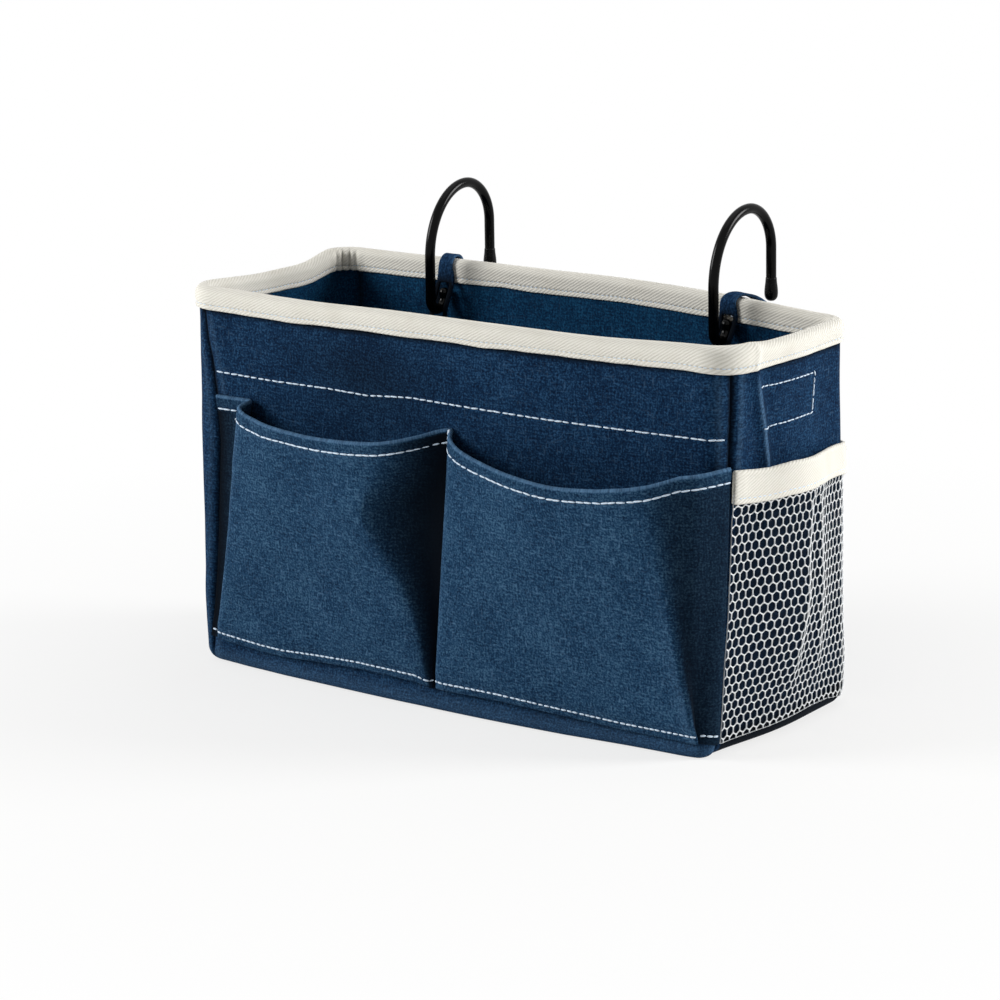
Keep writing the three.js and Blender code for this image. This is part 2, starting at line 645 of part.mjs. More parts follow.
// One hook, drawn about the centre of its heel: return, heel, stem, arch, open leg, bare core in the tip.
function hookWire() {
  const crown = archFront.width - heelRadius;
  const archBack = { width: archWidth - archFront.width, height: archBackHeight };
  const legX = archWidth - heelRadius;
  const legEnd = archHeight - tipDrop + tipLength + clearance;
  const coreEnd = archHeight - tipDrop + wireRadius;
  const spots = [];
  const add = (y, z, dirY, dirZ, radius = wireRadius) => spots.push({ y, z, dirY, dirZ, radius });
  for (const a of spread(wireEnd.from, wireEnd.to, wireEnd.steps)) {
    add(heelRadius, heelReturn + wireRadius * Math.sin(a), 0, -1, wireRadius * Math.cos(a));
  }
  add(heelRadius, heelReturn, 0, -1);
  for (const a of spread(0, -Math.PI, heelSteps)) {
    add(heelRadius * Math.cos(a), heelRadius * Math.sin(a), Math.sin(a), -Math.cos(a));
  }
  for (const a of spread(Math.PI, 0, archSteps)) {
    const { width, height: high } = a > Math.PI / 2 ? archFront : archBack;
    const along = new THREE.Vector2(width * Math.sin(a), -high * Math.cos(a)).normalize();
    add(crown + width * Math.cos(a), archHeight - high + high * Math.sin(a), along.x, along.y);
  }
  add(legX, legEnd, 0, -1);
  add(legX, legEnd, 0, -1, coreRadius);
  add(legX, coreEnd, 0, -1, coreRadius);
  const round = range(wireSides).map((k) => (2 * Math.PI * k) / wireSides);
  const contour = round.map((a) => new THREE.Vector2(Math.cos(a), Math.sin(a)));
  const point = (k, j) => {
    const spot = spots[j];
    const side = spot.radius * Math.sin(round[k]);
    const across = spot.radius * Math.cos(round[k]);
    return new THREE.Vector3(across, spot.y + side * spot.dirZ, spot.z - side * spot.dirY);
  };
  return sweepGeometry(round.length, spots.length, point, contour);
}
function hookTip() {
  const bore = coreRadius + clearance;
  const floor = wireRadius - clearance;
  const profile = [
    [0, floor],
    [0, 0],
    ...tipRound.map(({ share, z }) => [tipRadius * share, z]),
    [wireRadius + tipLip.over, tipLength - tipLip.drop],
    [wireRadius, tipLength],
    [bore, tipLength],
    [bore, floor],
    [0, floor],
  ].map(([r, z]) => new THREE.Vector2(r, z));
  return new THREE.LatheGeometry(profile, wireSides).rotateX(Math.PI / 2);
}
for (const [name, hook] of [["left", leftHook], ["right", rightHook]]) {
  addMesh(caddy, name + "_hook_loop", hookLoop(hook), "cloth");
  const swing = new THREE.Group();
  swing.position.copy(backPoint(hook.x, hook.pivotHeight, pivotInset));
  addMesh(swing, name + "_hook", hookWire(), "wire");
  const tip = addMesh(swing, name + "_hook_tip", hookTip(), "tip");
  tip.position.set(0, archWidth - heelRadius, archHeight - tipDrop);
  caddy.add(swing);
}

export default caddy;
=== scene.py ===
import json
import bpy
import numpy as np
from mathutils import Matrix

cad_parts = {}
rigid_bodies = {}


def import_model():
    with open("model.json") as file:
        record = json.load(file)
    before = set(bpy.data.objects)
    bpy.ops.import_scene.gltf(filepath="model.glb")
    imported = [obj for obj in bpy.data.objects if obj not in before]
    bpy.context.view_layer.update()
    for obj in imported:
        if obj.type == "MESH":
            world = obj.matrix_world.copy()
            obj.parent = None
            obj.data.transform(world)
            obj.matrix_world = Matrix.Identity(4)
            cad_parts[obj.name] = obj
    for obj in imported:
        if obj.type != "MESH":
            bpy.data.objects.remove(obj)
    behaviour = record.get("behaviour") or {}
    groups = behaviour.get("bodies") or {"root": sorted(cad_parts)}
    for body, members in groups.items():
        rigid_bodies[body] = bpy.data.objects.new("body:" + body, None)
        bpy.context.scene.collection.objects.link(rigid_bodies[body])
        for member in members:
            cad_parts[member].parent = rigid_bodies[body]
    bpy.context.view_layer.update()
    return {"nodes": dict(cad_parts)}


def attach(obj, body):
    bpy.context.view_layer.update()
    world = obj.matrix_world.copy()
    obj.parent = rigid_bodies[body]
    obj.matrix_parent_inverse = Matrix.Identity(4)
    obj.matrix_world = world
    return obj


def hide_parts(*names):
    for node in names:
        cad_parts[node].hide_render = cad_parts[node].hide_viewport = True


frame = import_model()
print("frame loaded, nodes:", len(frame["nodes"]))

# Shapes are worked out in millimetres, X along the front, -Y to the front, Z up, and put into the
# meshes in metres.
mm = 0.001


def mix(a, b, t):
    return a + (b - a) * t


def ease(x, low, high):  # smooth step from 0 at low to 1 at high
    t = np.clip((x - low) / (high - low), 0, 1)
    return t * t * (3 - 2 * t)


def hill(x, middle, width):  # bell of height 1
    return np.exp(-(((x - middle) / width) ** 2))


def unit(v):
    return v / np.maximum(np.linalg.norm(v, axis=-1, keepdims=True), 1e-9)


# Length along a path at each of its points.
def wayAlong(points):
    return np.concatenate([[0], np.cumsum(np.linalg.norm(np.diff(points, axis=0), axis=1))])


# Soft noise: seeded heights on a lattice of the given size, joined by smooth steps.
def softNoise(u, v, size, seed, cells=97):
    lattice = np.random.default_rng(seed).uniform(-1, 1, (cells, cells))
    i, j = np.floor(u / size).astype(int), np.floor(v / size).astype(int)
    fu, fv = ease(u / size - i, 0, 1), ease(v / size - j, 0, 1)
    at = lambda di, dj: lattice[(i + di) % cells, (j + dj) % cells]
    return mix(mix(at(0, 0), at(1, 0), fu), mix(at(0, 1), at(1, 1), fu), fv)


# Value at t on a smooth curve through even steps of given values (last axis): each stretch is a cubic
# whose slope at a step follows its neighbours.
def curveAt(values, t):
    last = values.shape[-1] - 1
    i = np.clip(np.floor(t).astype(int), 0, last - 1)
    f = t - i
    pick = lambda k: np.take_along_axis(values, np.clip(i + k, 0, last)[..., None], -1)[..., 0]
    a, b, c, d = (pick(k) for k in (-1, 0, 1, 2))
    square, cube = 2 * a - 5 * b + 4 * c - d, 3 * b - a - 3 * c + d
    return 0.5 * (2 * b + (c - a) * f + square * f**2 + cube * f**3)


# Smooth curve through given points, sampled at even steps of length measured on the first two columns.
def smoothCurve(points, count, fineness=60):
    p = np.asarray(points, float)
    t = np.linspace(0, len(p) - 1, fineness * len(p))
    columns = [np.broadcast_to(p[:, k], (len(t), len(p))) for k in range(p.shape[1])]
    fine = np.stack([curveAt(column, t) for column in columns], -1)
    way = wayAlong(fine[:, :2])
    even = np.linspace(0, way[-1], count)
    return np.stack([np.interp(even, way, fine[:, k]) for k in range(p.shape[1])], -1)


# Camera

view = dict(
    azimuth=37.51, elevation=13.59, roll=-0.88, place=(1.22179, -1.60631, 0.5738), lens=162.0,
    sensor=36.0, near=0.05, far=60.0,
)


# Camera or lamp at a place, turned by its right, up and back directions.
def stand(item, right, up, back, place):
    columns = np.stack([right, up, back, place], -1)
    item.matrix_world = Matrix([*columns.tolist(), [0, 0, 0, 1]])
    bpy.context.collection.objects.link(item)


def addCamera(spec):
    az, el, roll = np.radians([spec["azimuth"], spec["elevation"], spec["roll"]])
    back = np.array([np.sin(az) * np.cos(el), -np.cos(az) * np.cos(el), np.sin(el)])
    right = unit(np.cross(-back, [0, 0, 1]))
    up = np.cross(right, -back)
    right, up = right * np.cos(roll) + up * np.sin(roll), up * np.cos(roll) - right * np.sin(roll)
    lens = bpy.data.cameras.new("camera")
    lens.lens, lens.sensor_width = spec["lens"], spec["sensor"]
    lens.clip_start, lens.clip_end = spec["near"], spec["far"]
    camera = bpy.data.objects.new("camera", lens)
    stand(camera, right, up, back, spec["place"])
    bpy.context.scene.camera = camera


addCamera(view)
bpy.context.scene.view_settings.view_transform = "Standard"
print("camera placed")

# Materials


def linear(code):  # sRGB hex to linear
    c = np.array([int(code[k : k + 2], 16) for k in (1, 3, 5)]) / 255
    return (*np.where(c <= 0.04045, c / 12.92, ((c + 0.055) / 1.055) ** 2.4).tolist(), 1.0)


# Inputs of a node are values or the sockets that feed them.
def feed(tree, made, inputs):
    for key, value in dict(inputs).items():
        if isinstance(value, bpy.types.NodeSocket):
            tree.links.new(value, made.inputs[key])
        else:
            made.inputs[key].default_value = value


# One node, by the output that is used: props go on the node and stops on its ramp.
def node(tree, kind, inputs=(), stops=(), out=0, **props):
    made = tree.nodes.new(kind)
    for key, value in props.items():
        setattr(made, key, value)
    for k, (place, code) in enumerate(stops):
        stop = made.color_ramp.elements[k] if k < 2 else made.color_ramp.elements.new(place)
        stop.position, stop.color = place, linear(code)
    feed(tree, made, inputs)
    return made.outputs[out]


def newMaterial(name):
    material = bpy.data.materials.new(name)
    material.use_nodes = True
    tree = material.node_tree
    return material, tree, tree.nodes["Principled BSDF"]


# Rest of a material: roughness spread over a field, a bump in mm from a height, and plain values.
def finishMaterial(tree, shader, colour, spread, height, strength, depth, plain):
    raised = node(tree, "ShaderNodeBump", dict(Height=height, Strength=strength, Distance=depth * mm))
    rough = node(tree, "ShaderNodeMapRange", spread)
    feed(tree, shader, {"Base Color": colour, "Roughness": rough, "Normal": raised, **plain})


# Navy cotton canvas, woven and washed: matt, mottled, with fine pale threads both ways and short pale
# creases. A mesh attribute above 0 makes it paler, partly real rub and partly painted highlight on folds
# and hem edges; below 0 it turns the cloth to painted shade in folds and recesses. Real threads are 0.4 mm;
# they are drawn 0.9 mm so that they show.
canvas = dict(
    thread=0.9, threadLength=7.0, cloud=30.0, speck=1.0, crease=1.2, creaseLength=7.0, lines=0.22,
    threadShare=0.42, cloudShare=0.30, tones=(0.86, 1.28), middleAt=0.48, sharp=(0.62, 0.80),
    rough=(0.80, 0.98), bump=0.4, specular=0.06, sheen=0.02, sheenRough=0.6, sheenTint="#8fa9c4",
    paintedShade="#01050d", dark="#02132a", middle="#0a2744", light="#26496b", rubAndHighlight="#5c7fa1",
)


def navyCanvas(name, spec):
    material, tree, shader = newMaterial(name)
    uv = node(tree, "ShaderNodeUVMap", uv_map="cloth")

    def grain(wide, high, turn, detail, rough):
        scale = (1 / mm / wide, 1 / mm / high, 1)
        turned = dict(Vector=uv, Rotation=(0, 0, np.radians(turn)), Scale=scale)
        spot = node(tree, "ShaderNodeMapping", turned)
        noise = dict(Vector=spot, Scale=1.0, Detail=detail, Roughness=rough)
        return node(tree, "ShaderNodeTexNoise", noise)

    warp = grain(spec["thread"], spec["threadLength"], 0, 2, 0.6)
    weft = grain(spec["threadLength"], spec["thread"], 0, 2, 0.6)
    speck = grain(spec["speck"], spec["speck"], 20, 2, 0.6)
    cloud = grain(spec["cloud"], spec["cloud"], 0, 4, 0.6)
    creaseA = grain(spec["crease"], spec["creaseLength"], 28, 1, 0.5)
    creaseB = grain(spec["creaseLength"], spec["crease"], 33, 1, 0.5)
    threads = node(tree, "ShaderNodeMath", {0: warp, 1: weft}, operation="ADD")
    share = {0: threads, 1: spec["threadShare"], 2: speck}
    weave = node(tree, "ShaderNodeMath", share, operation="MULTIPLY_ADD")
    share = {0: cloud, 1: spec["cloudShare"], 2: weave}
    tone = node(tree, "ShaderNodeMath", share, operation="MULTIPLY_ADD")
    spread = {0: tone, 1: spec["tones"][0], 2: spec["tones"][1]}
    colour = node(
        tree, "ShaderNodeValToRGB", dict(Fac=node(tree, "ShaderNodeMapRange", spread)),
        stops=[(0.0, spec["dark"]), (1.0, spec["light"]), (spec["middleAt"], spec["middle"])],
    )
    sharp = node(tree, "ShaderNodeMath", {0: creaseA, 1: creaseB}, operation="MAXIMUM")
    spread = {0: sharp, 1: spec["sharp"][0], 2: spec["sharp"][1], 3: 0.0, 4: spec["lines"]}
    lines = node(tree, "ShaderNodeMapRange", spread)
    # Painted light and wear: above 0 the attribute mixes in the pale rub and painted highlight, below 0 the
    # painted shade.
    lightAndWear = node(tree, "ShaderNodeAttribute", attribute_name="wearAndPaintedLight", out="Fac")
    share = {0: lightAndWear, 1: speck, 2: lines}
    paleShare = node(tree, "ShaderNodeMath", share, operation="MULTIPLY_ADD", use_clamp=True)
    blend = {0: paleShare, 6: colour, 7: linear(spec["rubAndHighlight"])}
    pale = node(tree, "ShaderNodeMix", blend, data_type="RGBA", out=2)
    share = {0: lightAndWear, 1: -1.0}
    paintedShadeShare = node(tree, "ShaderNodeMath", share, operation="MULTIPLY", use_clamp=True)
    blend = {0: paintedShadeShare, 6: pale, 7: linear(spec["paintedShade"])}
    shaded = node(tree, "ShaderNodeMix", blend, data_type="RGBA", out=2)
    spread = {0: speck, 3: spec["rough"][0], 4: spec["rough"][1]}
    plain = {
        "Specular IOR Level": spec["specular"], "Sheen Weight": spec["sheen"],
        "Sheen Roughness": spec["sheenRough"], "Sheen Tint": linear(spec["sheenTint"]),
    }
    finishMaterial(tree, shader, shaded, spread, weave, 0.35, spec["bump"], plain)
    return material


# Cotton twill tape, unbleached: matt off-white with raised slanting ribs and a little grey in the
# grooves. Real ribs are about 1 mm apart; they are drawn 1.3 mm apart so that they show. A mesh attribute
# greys it with painted shade along its stitches and behind a strap.
twill = dict(
    rib=1.3, slant=58.0, cloud=22.0, grit=1.1, gritShare=0.5, waver=1.6, stain=(0.5, 0.8, 0.6),
    rough=(0.78, 0.95), bump=0.5, specular=0.2, sheen=0.1,
    groove="#d6d2c6", face="#e6e3d9", crown="#efece3", soil="#d8d3c6", seam="#4a463f",
)


def twillTape(name, spec):
    material, tree, shader = newMaterial(name)
    uv = node(tree, "ShaderNodeUVMap", uv_map="cloth")
    turned = dict(Vector=uv, Rotation=(0, 0, np.radians(spec["slant"])), Scale=(1 / mm, 1 / mm, 1))
    spot = node(tree, "ShaderNodeMapping", turned)
    # A wave texture at scale 1 has a band every 2 pi / 20.
    band = dict(Vector=spot, Scale=2 * np.pi / 20 / spec["rib"], Distortion=spec["waver"], Detail=2.0)
    ribs = node(tree, "ShaderNodeTexWave", band, wave_type="BANDS", bands_direction="X", out="Fac")
    noise = dict(Vector=spot, Scale=spec["grit"], Detail=3.0, Roughness=0.6)
    grit = node(tree, "ShaderNodeTexNoise", noise)
    noise = dict(Vector=spot, Scale=1 / spec["cloud"], Detail=3.0)
    cloud = node(tree, "ShaderNodeTexNoise", noise)
    share = {0: grit, 1: spec["gritShare"], 2: ribs}
    tone = node(tree, "ShaderNodeMath", share, operation="MULTIPLY_ADD")
    colour = node(
        tree, "ShaderNodeValToRGB", dict(Fac=tone),
        stops=[(0.15, spec["groove"]), (1.0, spec["crown"]), (0.55, spec["face"])],
    )
    low, high, most = spec["stain"]
    stain = node(tree, "ShaderNodeMapRange", {0: cloud, 1: low, 2: high, 3: 0.0, 4: most})
    blend = {0: stain, 6: colour, 7: linear(spec["soil"])}
    soiled = node(tree, "ShaderNodeMix", blend, data_type="RGBA", out=2)
    # Painted shade from the mesh attribute: grey along the stitches and behind the strap.
    sewn = node(tree, "ShaderNodeAttribute", attribute_name="wearAndPaintedLight", out="Fac")
    blend = {0: sewn, 6: soiled, 7: linear(spec["seam"])}
    dull = node(tree, "ShaderNodeMix", blend, data_type="RGBA", out=2)
    spread = {0: grit, 3: spec["rough"][0], 4: spec["rough"][1]}
    plain = {"Specular IOR Level": spec["specular"], "Sheen Weight": spec["sheen"]}
    finishMaterial(tree, shader, dull, spread, tone, 0.3, spec["bump"], plain)
    return material


# Plain fine-grained finish on Object coordinates: two tones mixed by noise of a real grain size in mm,
# with roughness and a shallow bump from the same noise.
def grained(name, grain, tones, rough, depth, specular):
    material, tree, shader = newMaterial(name)
    place = node(tree, "ShaderNodeTexCoord", out="Object")
    noise = dict(Vector=place, Scale=1 / mm / grain, Detail=4.0, Roughness=0.6)
    field = node(tree, "ShaderNodeTexNoise", noise)
    stops = [(0.3, tones[0]), (0.7, tones[1])]
    colour = node(tree, "ShaderNodeValToRGB", dict(Fac=field), stops=stops)
    spread = {0: field, 1: 0.3, 2: 0.7, 3: rough[0], 4: rough[1]}
    finishMaterial(tree, shader, colour, spread, field, 0.3, depth, {"Specular IOR Level": specular})
    return material


navyCloth = navyCanvas("navy_cotton_canvas", canvas)
# The pockets take a paler copy of the canvas: painted light, as they catch more light than the wall above
# them, which stays darker.
pocketLitCanvas = dict(canvas, lines=0.45, creaseLength=5.0, dark="#0a2139", middle="#1a3a58", light="#3f617d")
navyPocket = navyCanvas("navy_canvas_painted_lit", pocketLitCanvas)
unworn = dict(canvas, lines=0.1, dark="#021a34", middle="#07304f", light="#1a4e72")
navyInside = navyCanvas("navy_canvas_inside", unworn)
woven = dict(canvas, thread=0.8, dark="#081a31", middle="#13304f", light="#2c4e74")
navyStrap = navyCanvas("navy_cotton_tape", woven)
creamTape = twillTape("cotton_twill_tape", twill)
# Knitted polyester net: semi-matt white filaments, a little grey where they twist.
whiteNet = grained("knitted_polyester_net", 1.6, ("#d8dde2", "#fbfbfa"), (0.45, 0.65), 0.15, 0.35)
# Spun polyester sewing thread: bright white with a faint blue shade.
whiteThread = grained("polyester_thread", 0.7, ("#c6d9ee", "#e3f1ff"), (0.5, 0.7), 0.1, 0.3)
# Steel wire in black enamel: smooth gloss with a slight orange peel.
blackEnamel = grained("black_enamelled_wire", 2.5, ("#010101", "#020203"), (0.12, 0.2), 0.02, 0.1)
# Dipped PVC cap: satin black, softer than the enamel.
blackCap = grained("black_dipped_pvc", 1.2, ("#010101", "#040405"), (0.22, 0.32), 0.04, 0.1)
# Grey board: pulp fibres, dull.
greyBoard = grained("pulp_board", 2.0, ("#a89d88", "#c4baa5"), (0.85, 0.98), 0.2, 0.1)
print("materials made:", len(bpy.data.materials))

# Bag walls, the same numbers as the CAD; sides and corners go front, right, back, left

bag = dict(
    height=180.0, wallTop=177.0, curl=7.0, riseStart=110.0,
    base=[(-146, -58), (146, -58), (146, 58), (-146, 58)],
    rim=[(-150, -56.8), (150, -45.8), (150, 48.2), (-150, 59.2)],
    baseRadius=[7, 7, 13, 13], rimRadius=[13, 17, 13, 13],
    baseBow=[5, 3, 2, 3], rimBow=[2, 1, 2, 1],
    rise=[(0.7, -0.4, 0.3, 0, -0.2, 1.7), (1.7, 0.2, 0, 0, 0.2, 0.6), (0.6, 3.2, 4.0, 3.1, 2.6, 1.8),
          (1.8, -2.0, -2.4, -2.1, -0.7, 0.7)],
    cloth=1.0, wall=4.4, leastRadius=0.6,
)


# Wall point. The corners go straight from base to rim, each side moves in by the inset, the corners turn
# on arcs, and a side bows out by sine squared of the way along it. The soft rim rises and sags by a smooth
# curve along each side. Stations: 0-1 front, 1-2 the corner after it, 2-3 right side, and so on round to 8.
def wallPoint(station, z, inset):
    station, z, inset = np.broadcast_arrays(*(np.asarray(v, float) for v in (station, z, inset)))
    spec = {key: np.array(value, float) for key, value in bag.items()}
    level = z[..., None] / bag["height"]
    corner = mix(spec["base"], spec["rim"], level[..., None])
    along = unit(np.roll(corner, -1, -2) - corner)
    outward = np.stack([along[..., 1], -along[..., 0]], -1)
    before = np.roll(along, 1, -2)
    dot = (before * along).sum(-1)
    cross = before[..., 0] * along[..., 1] - before[..., 1] * along[..., 0]
    slide = inset[..., None] * (1 - dot) / cross
    corner = corner - outward * inset[..., None, None] + along * slide[..., None]
    radius = mix(spec["baseRadius"], spec["rimRadius"], level) - inset[..., None]
    radius = np.maximum(radius, bag["leastRadius"])
    turn = np.arccos(dot)
    tangent = radius * np.tan(turn / 2)
    part = np.floor(station).astype(int)
    way = (station - part)[..., None]
    side = (part % 8) // 2
    after = (side + 1) % 4
    flat = lambda table, index: np.take_along_axis(table, index[..., None], -1)
    spot = lambda table, index: np.take_along_axis(table, index[..., None, None], -2)[..., 0, :]
    start = spot(corner, side) + spot(along, side) * flat(tangent, side)
    end = spot(corner, after) - spot(along, side) * flat(tangent, after)
    wave = np.sin(np.pi * way) ** 2
    bow = mix(spec["baseBow"][side], spec["rimBow"][side], level[..., 0])[..., None]
    straight = mix(start, end, way) + spot(outward, side) * bow * wave
    arm = spot(outward, side) * flat(radius, after)
    angle = flat(turn, after) * way
    turned = np.concatenate(
        [arm[..., :1] * np.cos(angle) - arm[..., 1:] * np.sin(angle),
         arm[..., :1] * np.sin(angle) + arm[..., 1:] * np.cos(angle)], -1)
    isSide = (part % 2 == 0)[..., None]
    flatPlace = np.where(isSide, straight, end - arm + turned)
    climb = np.maximum(z - bag["riseStart"], 0) / (bag["height"] - bag["riseStart"])
    steps = spec["rise"].shape[-1] - 1
    sideRise = curveAt(spec["rise"][side], way[..., 0] * steps)
    rise = np.where(isSide[..., 0], sideRise, spec["rise"][after, 0])
    return np.concatenate([flatPlace, (z + rise * climb**2)[..., None]], -1)


# Distance round the bag at half height, in mm from the left end of the front, and back to stations.
roundStations = np.linspace(-8, 16, 2401)
roundRuns = wayAlong(wallPoint(roundStations, bag["height"] / 2, 0))
roundRuns -= np.interp(0, roundStations, roundRuns)
stationAt = lambda run: np.interp(run, roundRuns, roundStations)
runAt = lambda station: np.interp(station, roundStations, roundRuns)
roundTotal = runAt(8.0)

# Seams as runs at given heights: the front left one wanders onto the front, the back ones stand straight
# at their stations.
seams = dict(
    left=([0, 10, 17, 25, 45, 70, 94, 108, 118, 132, 144, 155, 168, 180],
          [-2.5, -1.5, -0.6, 1.0, 3.2, 4.8, 5.8, 6.4, 5.6, 3.4, 1.2, -2.0, -4.4, -6.0]),
    right=([0, 7, 25, 61, 106, 146, 168, 180], [291.6, 291.4, 290.2, 289.4, 287.7, 286.5, 285.7, 285.3]),
    backRight=4.0, backLeft=5.0,
)
leftSeam = lambda z: np.interp(z, *seams["left"])
rightSeam = lambda z: np.interp(z, *seams["right"])

# Slack of the wall cloth: soft folds as (depth, size, seed), how deep the seams pull in, the roll beside
# the front left seam, and the fold on the right wall, which leans to the front as it climbs.
slack = dict(
    folds=[(0.45, 47, 3), (0.22, 19, 4)], leftPull=0.8, leftMore=1.6, rightPull=2.6, backPull=1.2,
    roll=2.0, rollFrom=5.5, rollWide=4.2, ridge=2.0, ridgeWide=3.2, stitch=0.35,
    ridgeAt=[60, 128, 142, 155, 166, 180], ridgeRun=[318, 311.2, 307.3, 302.2, 298, 294],
)
ridgeRun = lambda z: np.interp(z, slack["ridgeAt"], slack["ridgeRun"])


# Outward swell of each wall cloth in mm at a run and height: soft noise, tucked in along its seams by an
# exponential of the distance, with bells for the roll, the fold and the dent of the topstitch.
def wallSwell(run, z):
    loose = ease(z, 4, 30) * (1 - ease(z, 160, 176))
    swell = loose * sum(depth * softNoise(run, z, size, seed) for depth, size, seed in slack["folds"])
    left, right = leftSeam(z), rightSeam(z)
    tuck = slack["leftPull"] + slack["leftMore"] * ease(left, 2.5, 0.0)  # shallow where the board is near
    pulls = [(left, tuck, 1.3), (left + roundTotal, tuck, 1.6), (right, slack["rightPull"], 1.5)]
    pulls += [(runAt(seams[key]), slack["backPull"], 1.6) for key in ("backRight", "backLeft")]
    for seam, depth, wide in pulls:
        swell = swell - depth * np.exp(-np.abs(run - seam) / wide)
    roll = hill(run, left + roundTotal - slack["rollFrom"], slack["rollWide"])
    roll = roll * ease(z, 6, 40) * (1 - ease(z, 100, 160))
    crest = ridgeRun(z)
    hollows = 0.3 * hill(run, crest - 9, 5) + 0.3 * hill(run, crest + 9, 5)
    ridge = hill(run, crest, slack["ridgeWide"]) - hollows
    stitch = hill(z, topStitch(run), 1.8) * (run < right) * (run > left)
    return swell + slack["roll"] * roll + slack["ridge"] * ridge * ease(z, 60, 125) - slack["stitch"] * stitch


# The foot: the cloth is worn round at the back right, least at the floor and most above it, and bulges
# out over the base along the front, most at the floor, by the power 1.5 of the way down from its top.
foot = dict(
    lift=(0.6, 3.4), liftWide=12, top=10.0,
    runs=[-3, 20, 44, 127, 173, 207, 240, 268, 277, 285, 291],
    spread=[0, 3.2, 4.8, 5.0, 6.8, 8.0, 7.2, 7.2, 5.8, 2.6, 0],
)


def footLift(run, z):
    least, more = foot["lift"]
    return hill(run, runAt(3.5), foot["liftWide"]) * (least + more * ease(z, 0, 8)) * (1 - ease(z, 8, 42))


def footSpread(run, z):
    return np.interp(run, foot["runs"], foot["spread"]) * np.clip(1 - z / foot["top"], 0, 1) ** 1.5


# Height of the front topstitch along the run: it wanders by a millimetre.
topLine = dict(
    level=140.0, start=2.0, end=2.0, runs=[2, 37, 73, 94, 107, 120, 153, 191, 223, 255, 285],
    heights=[140.9, 140.3, 140.6, 139.9, 141.0, 141.9, 141.3, 140.6, 140.5, 140.3, 140.3],
)
topStitch = lambda run: np.interp(run, topLine["runs"], topLine["heights"])
wallSurface = lambda run, z, lift: wallPoint(stationAt(run), z, -lift - wallSwell(run, z))

# Cloth and pieces


# Point numbers of a grid and its quads.
def gridQuads(rows, cols):
    index = np.arange(rows * cols).reshape(rows, cols)
    quads = np.stack([index[:-1, :-1], index[:-1, 1:], index[1:, 1:], index[1:, :-1]], -1)
    return index, quads.reshape(-1, 4)


# Quads between closed rings of points, each row of numbers being one ring.
def ringQuads(index):
    follow = np.roll(index, -1, 1)
    return np.stack([index[:-1], follow[:-1], follow[1:], index[1:]], -1).reshape(-1, 4)


# Closed cloth from a grid of points: half the thickness to each side along the grid normal, and the free
# edges bulge by half a thickness. Columns run right and rows run up when seen from outside. The last
# column of a ring repeats the first.
def closedCloth(mid, thick, uv, ring=False):
    rows, cols = mid.shape[:2]
    across = np.gradient(mid, axis=1)
    if ring:
        across[:, 0] = across[:, -1] = (mid[:, 1] - mid[:, -2]) / 2
    normal = unit(np.cross(across, np.gradient(mid, axis=0)))
    half = 0.5 * np.broadcast_to(np.asarray(thick, float), (rows, cols))[..., None]
    push = np.zeros_like(mid)
    push[0] += unit(mid[0] - mid[1])
    push[-1] += unit(mid[-1] - mid[-2])
    if not ring:
        push[:, 0] += unit(mid[:, 0] - mid[:, 1])
        push[:, -1] += unit(mid[:, -1] - mid[:, -2])
    layers = [mid + normal * half, mid - normal * half, mid + unit(push) * half]
    points = np.concatenate(layers).reshape(-1, 3)
    index, quads = gridQuads(rows, cols)
    total = rows * cols
    sides = [index[0, :-1], index[:-1, -1], index[-1, :0:-1], index[:0:-1, 0], index[0, :1]]
    edges = []
    for loop in [index[0], index[-1, ::-1]] if ring else [np.concatenate(sides)]:
        a, b = loop[:-1], loop[1:]
        rim = a + 2 * total, b + 2 * total
        edges += [np.stack([b, a, *rim], -1), np.stack([*rim[::-1], a + total, b + total], -1)]
    same = np.arange(3 * total)
    if ring:
        same.reshape(3, rows, cols)[:, :, -1] = same.reshape(3, rows, cols)[:, :, 0]
    faces = np.concatenate([quads, quads[:, ::-1] + total, *edges])
    return points, faces, np.tile(uv.reshape(-1, 2), (3, 1)), same


def faceArea(points, faces):  # both triangles of each quad
    a, b, c, d = (points[faces[:, k]] for k in range(4))
    halves = np.cross(b - a, c - a), np.cross(c - a, d - a)
    return 0.5 * sum(np.linalg.norm(half, axis=1) for half in halves).sum()


# New piece: mesh in metres from points in mm and one or more face arrays; turned right side out by its
# signed volume; loop UVs, an attribute of wear and painted light, and smooth shading; it rides on a body and
# stands for CAD nodes.
def addPiece(name, points, faceSets, material, body, nodes=(), uv=None, same=None, wearAndPaintedLight=None):
    same = np.arange(len(points)) if same is None else same
    volume = 0.0
    for faces in faceSets:
        a = points[faces[:, 0]]
        for k in range(1, faces.shape[1] - 1):
            volume += (a * np.cross(points[faces[:, k]], points[faces[:, k + 1]])).sum()
    if volume < 0:
        faceSets = [faces[:, ::-1] for faces in faceSets]
    corners = np.concatenate([faces.ravel() for faces in faceSets])
    used, compact = np.unique(same[corners], return_inverse=True)
    polygons, at = [], 0
    for faces in faceSets:
        polygons += compact[at : at + faces.size].reshape(faces.shape).tolist()
        at += faces.size
    mesh = bpy.data.meshes.new(name)
    mesh.from_pydata((points[used] * mm).tolist(), [], polygons)
    if uv is not None:
        mesh.uv_layers.new(name="cloth").data.foreach_set("uv", (uv[corners] * mm).ravel())
    if wearAndPaintedLight is not None:
        mesh.attributes.new("wearAndPaintedLight", "FLOAT", "POINT").data.foreach_set("value", wearAndPaintedLight[used])
    mesh.polygons.foreach_set("use_smooth", np.ones(len(mesh.polygons), bool))
    mesh.validate()
    mesh.update()
    mesh.materials.append(material)
    piece = bpy.data.objects.new(name, mesh)
    bpy.context.collection.objects.link(piece)
    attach(piece, body)
    if nodes:
        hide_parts(*nodes)
    return piece


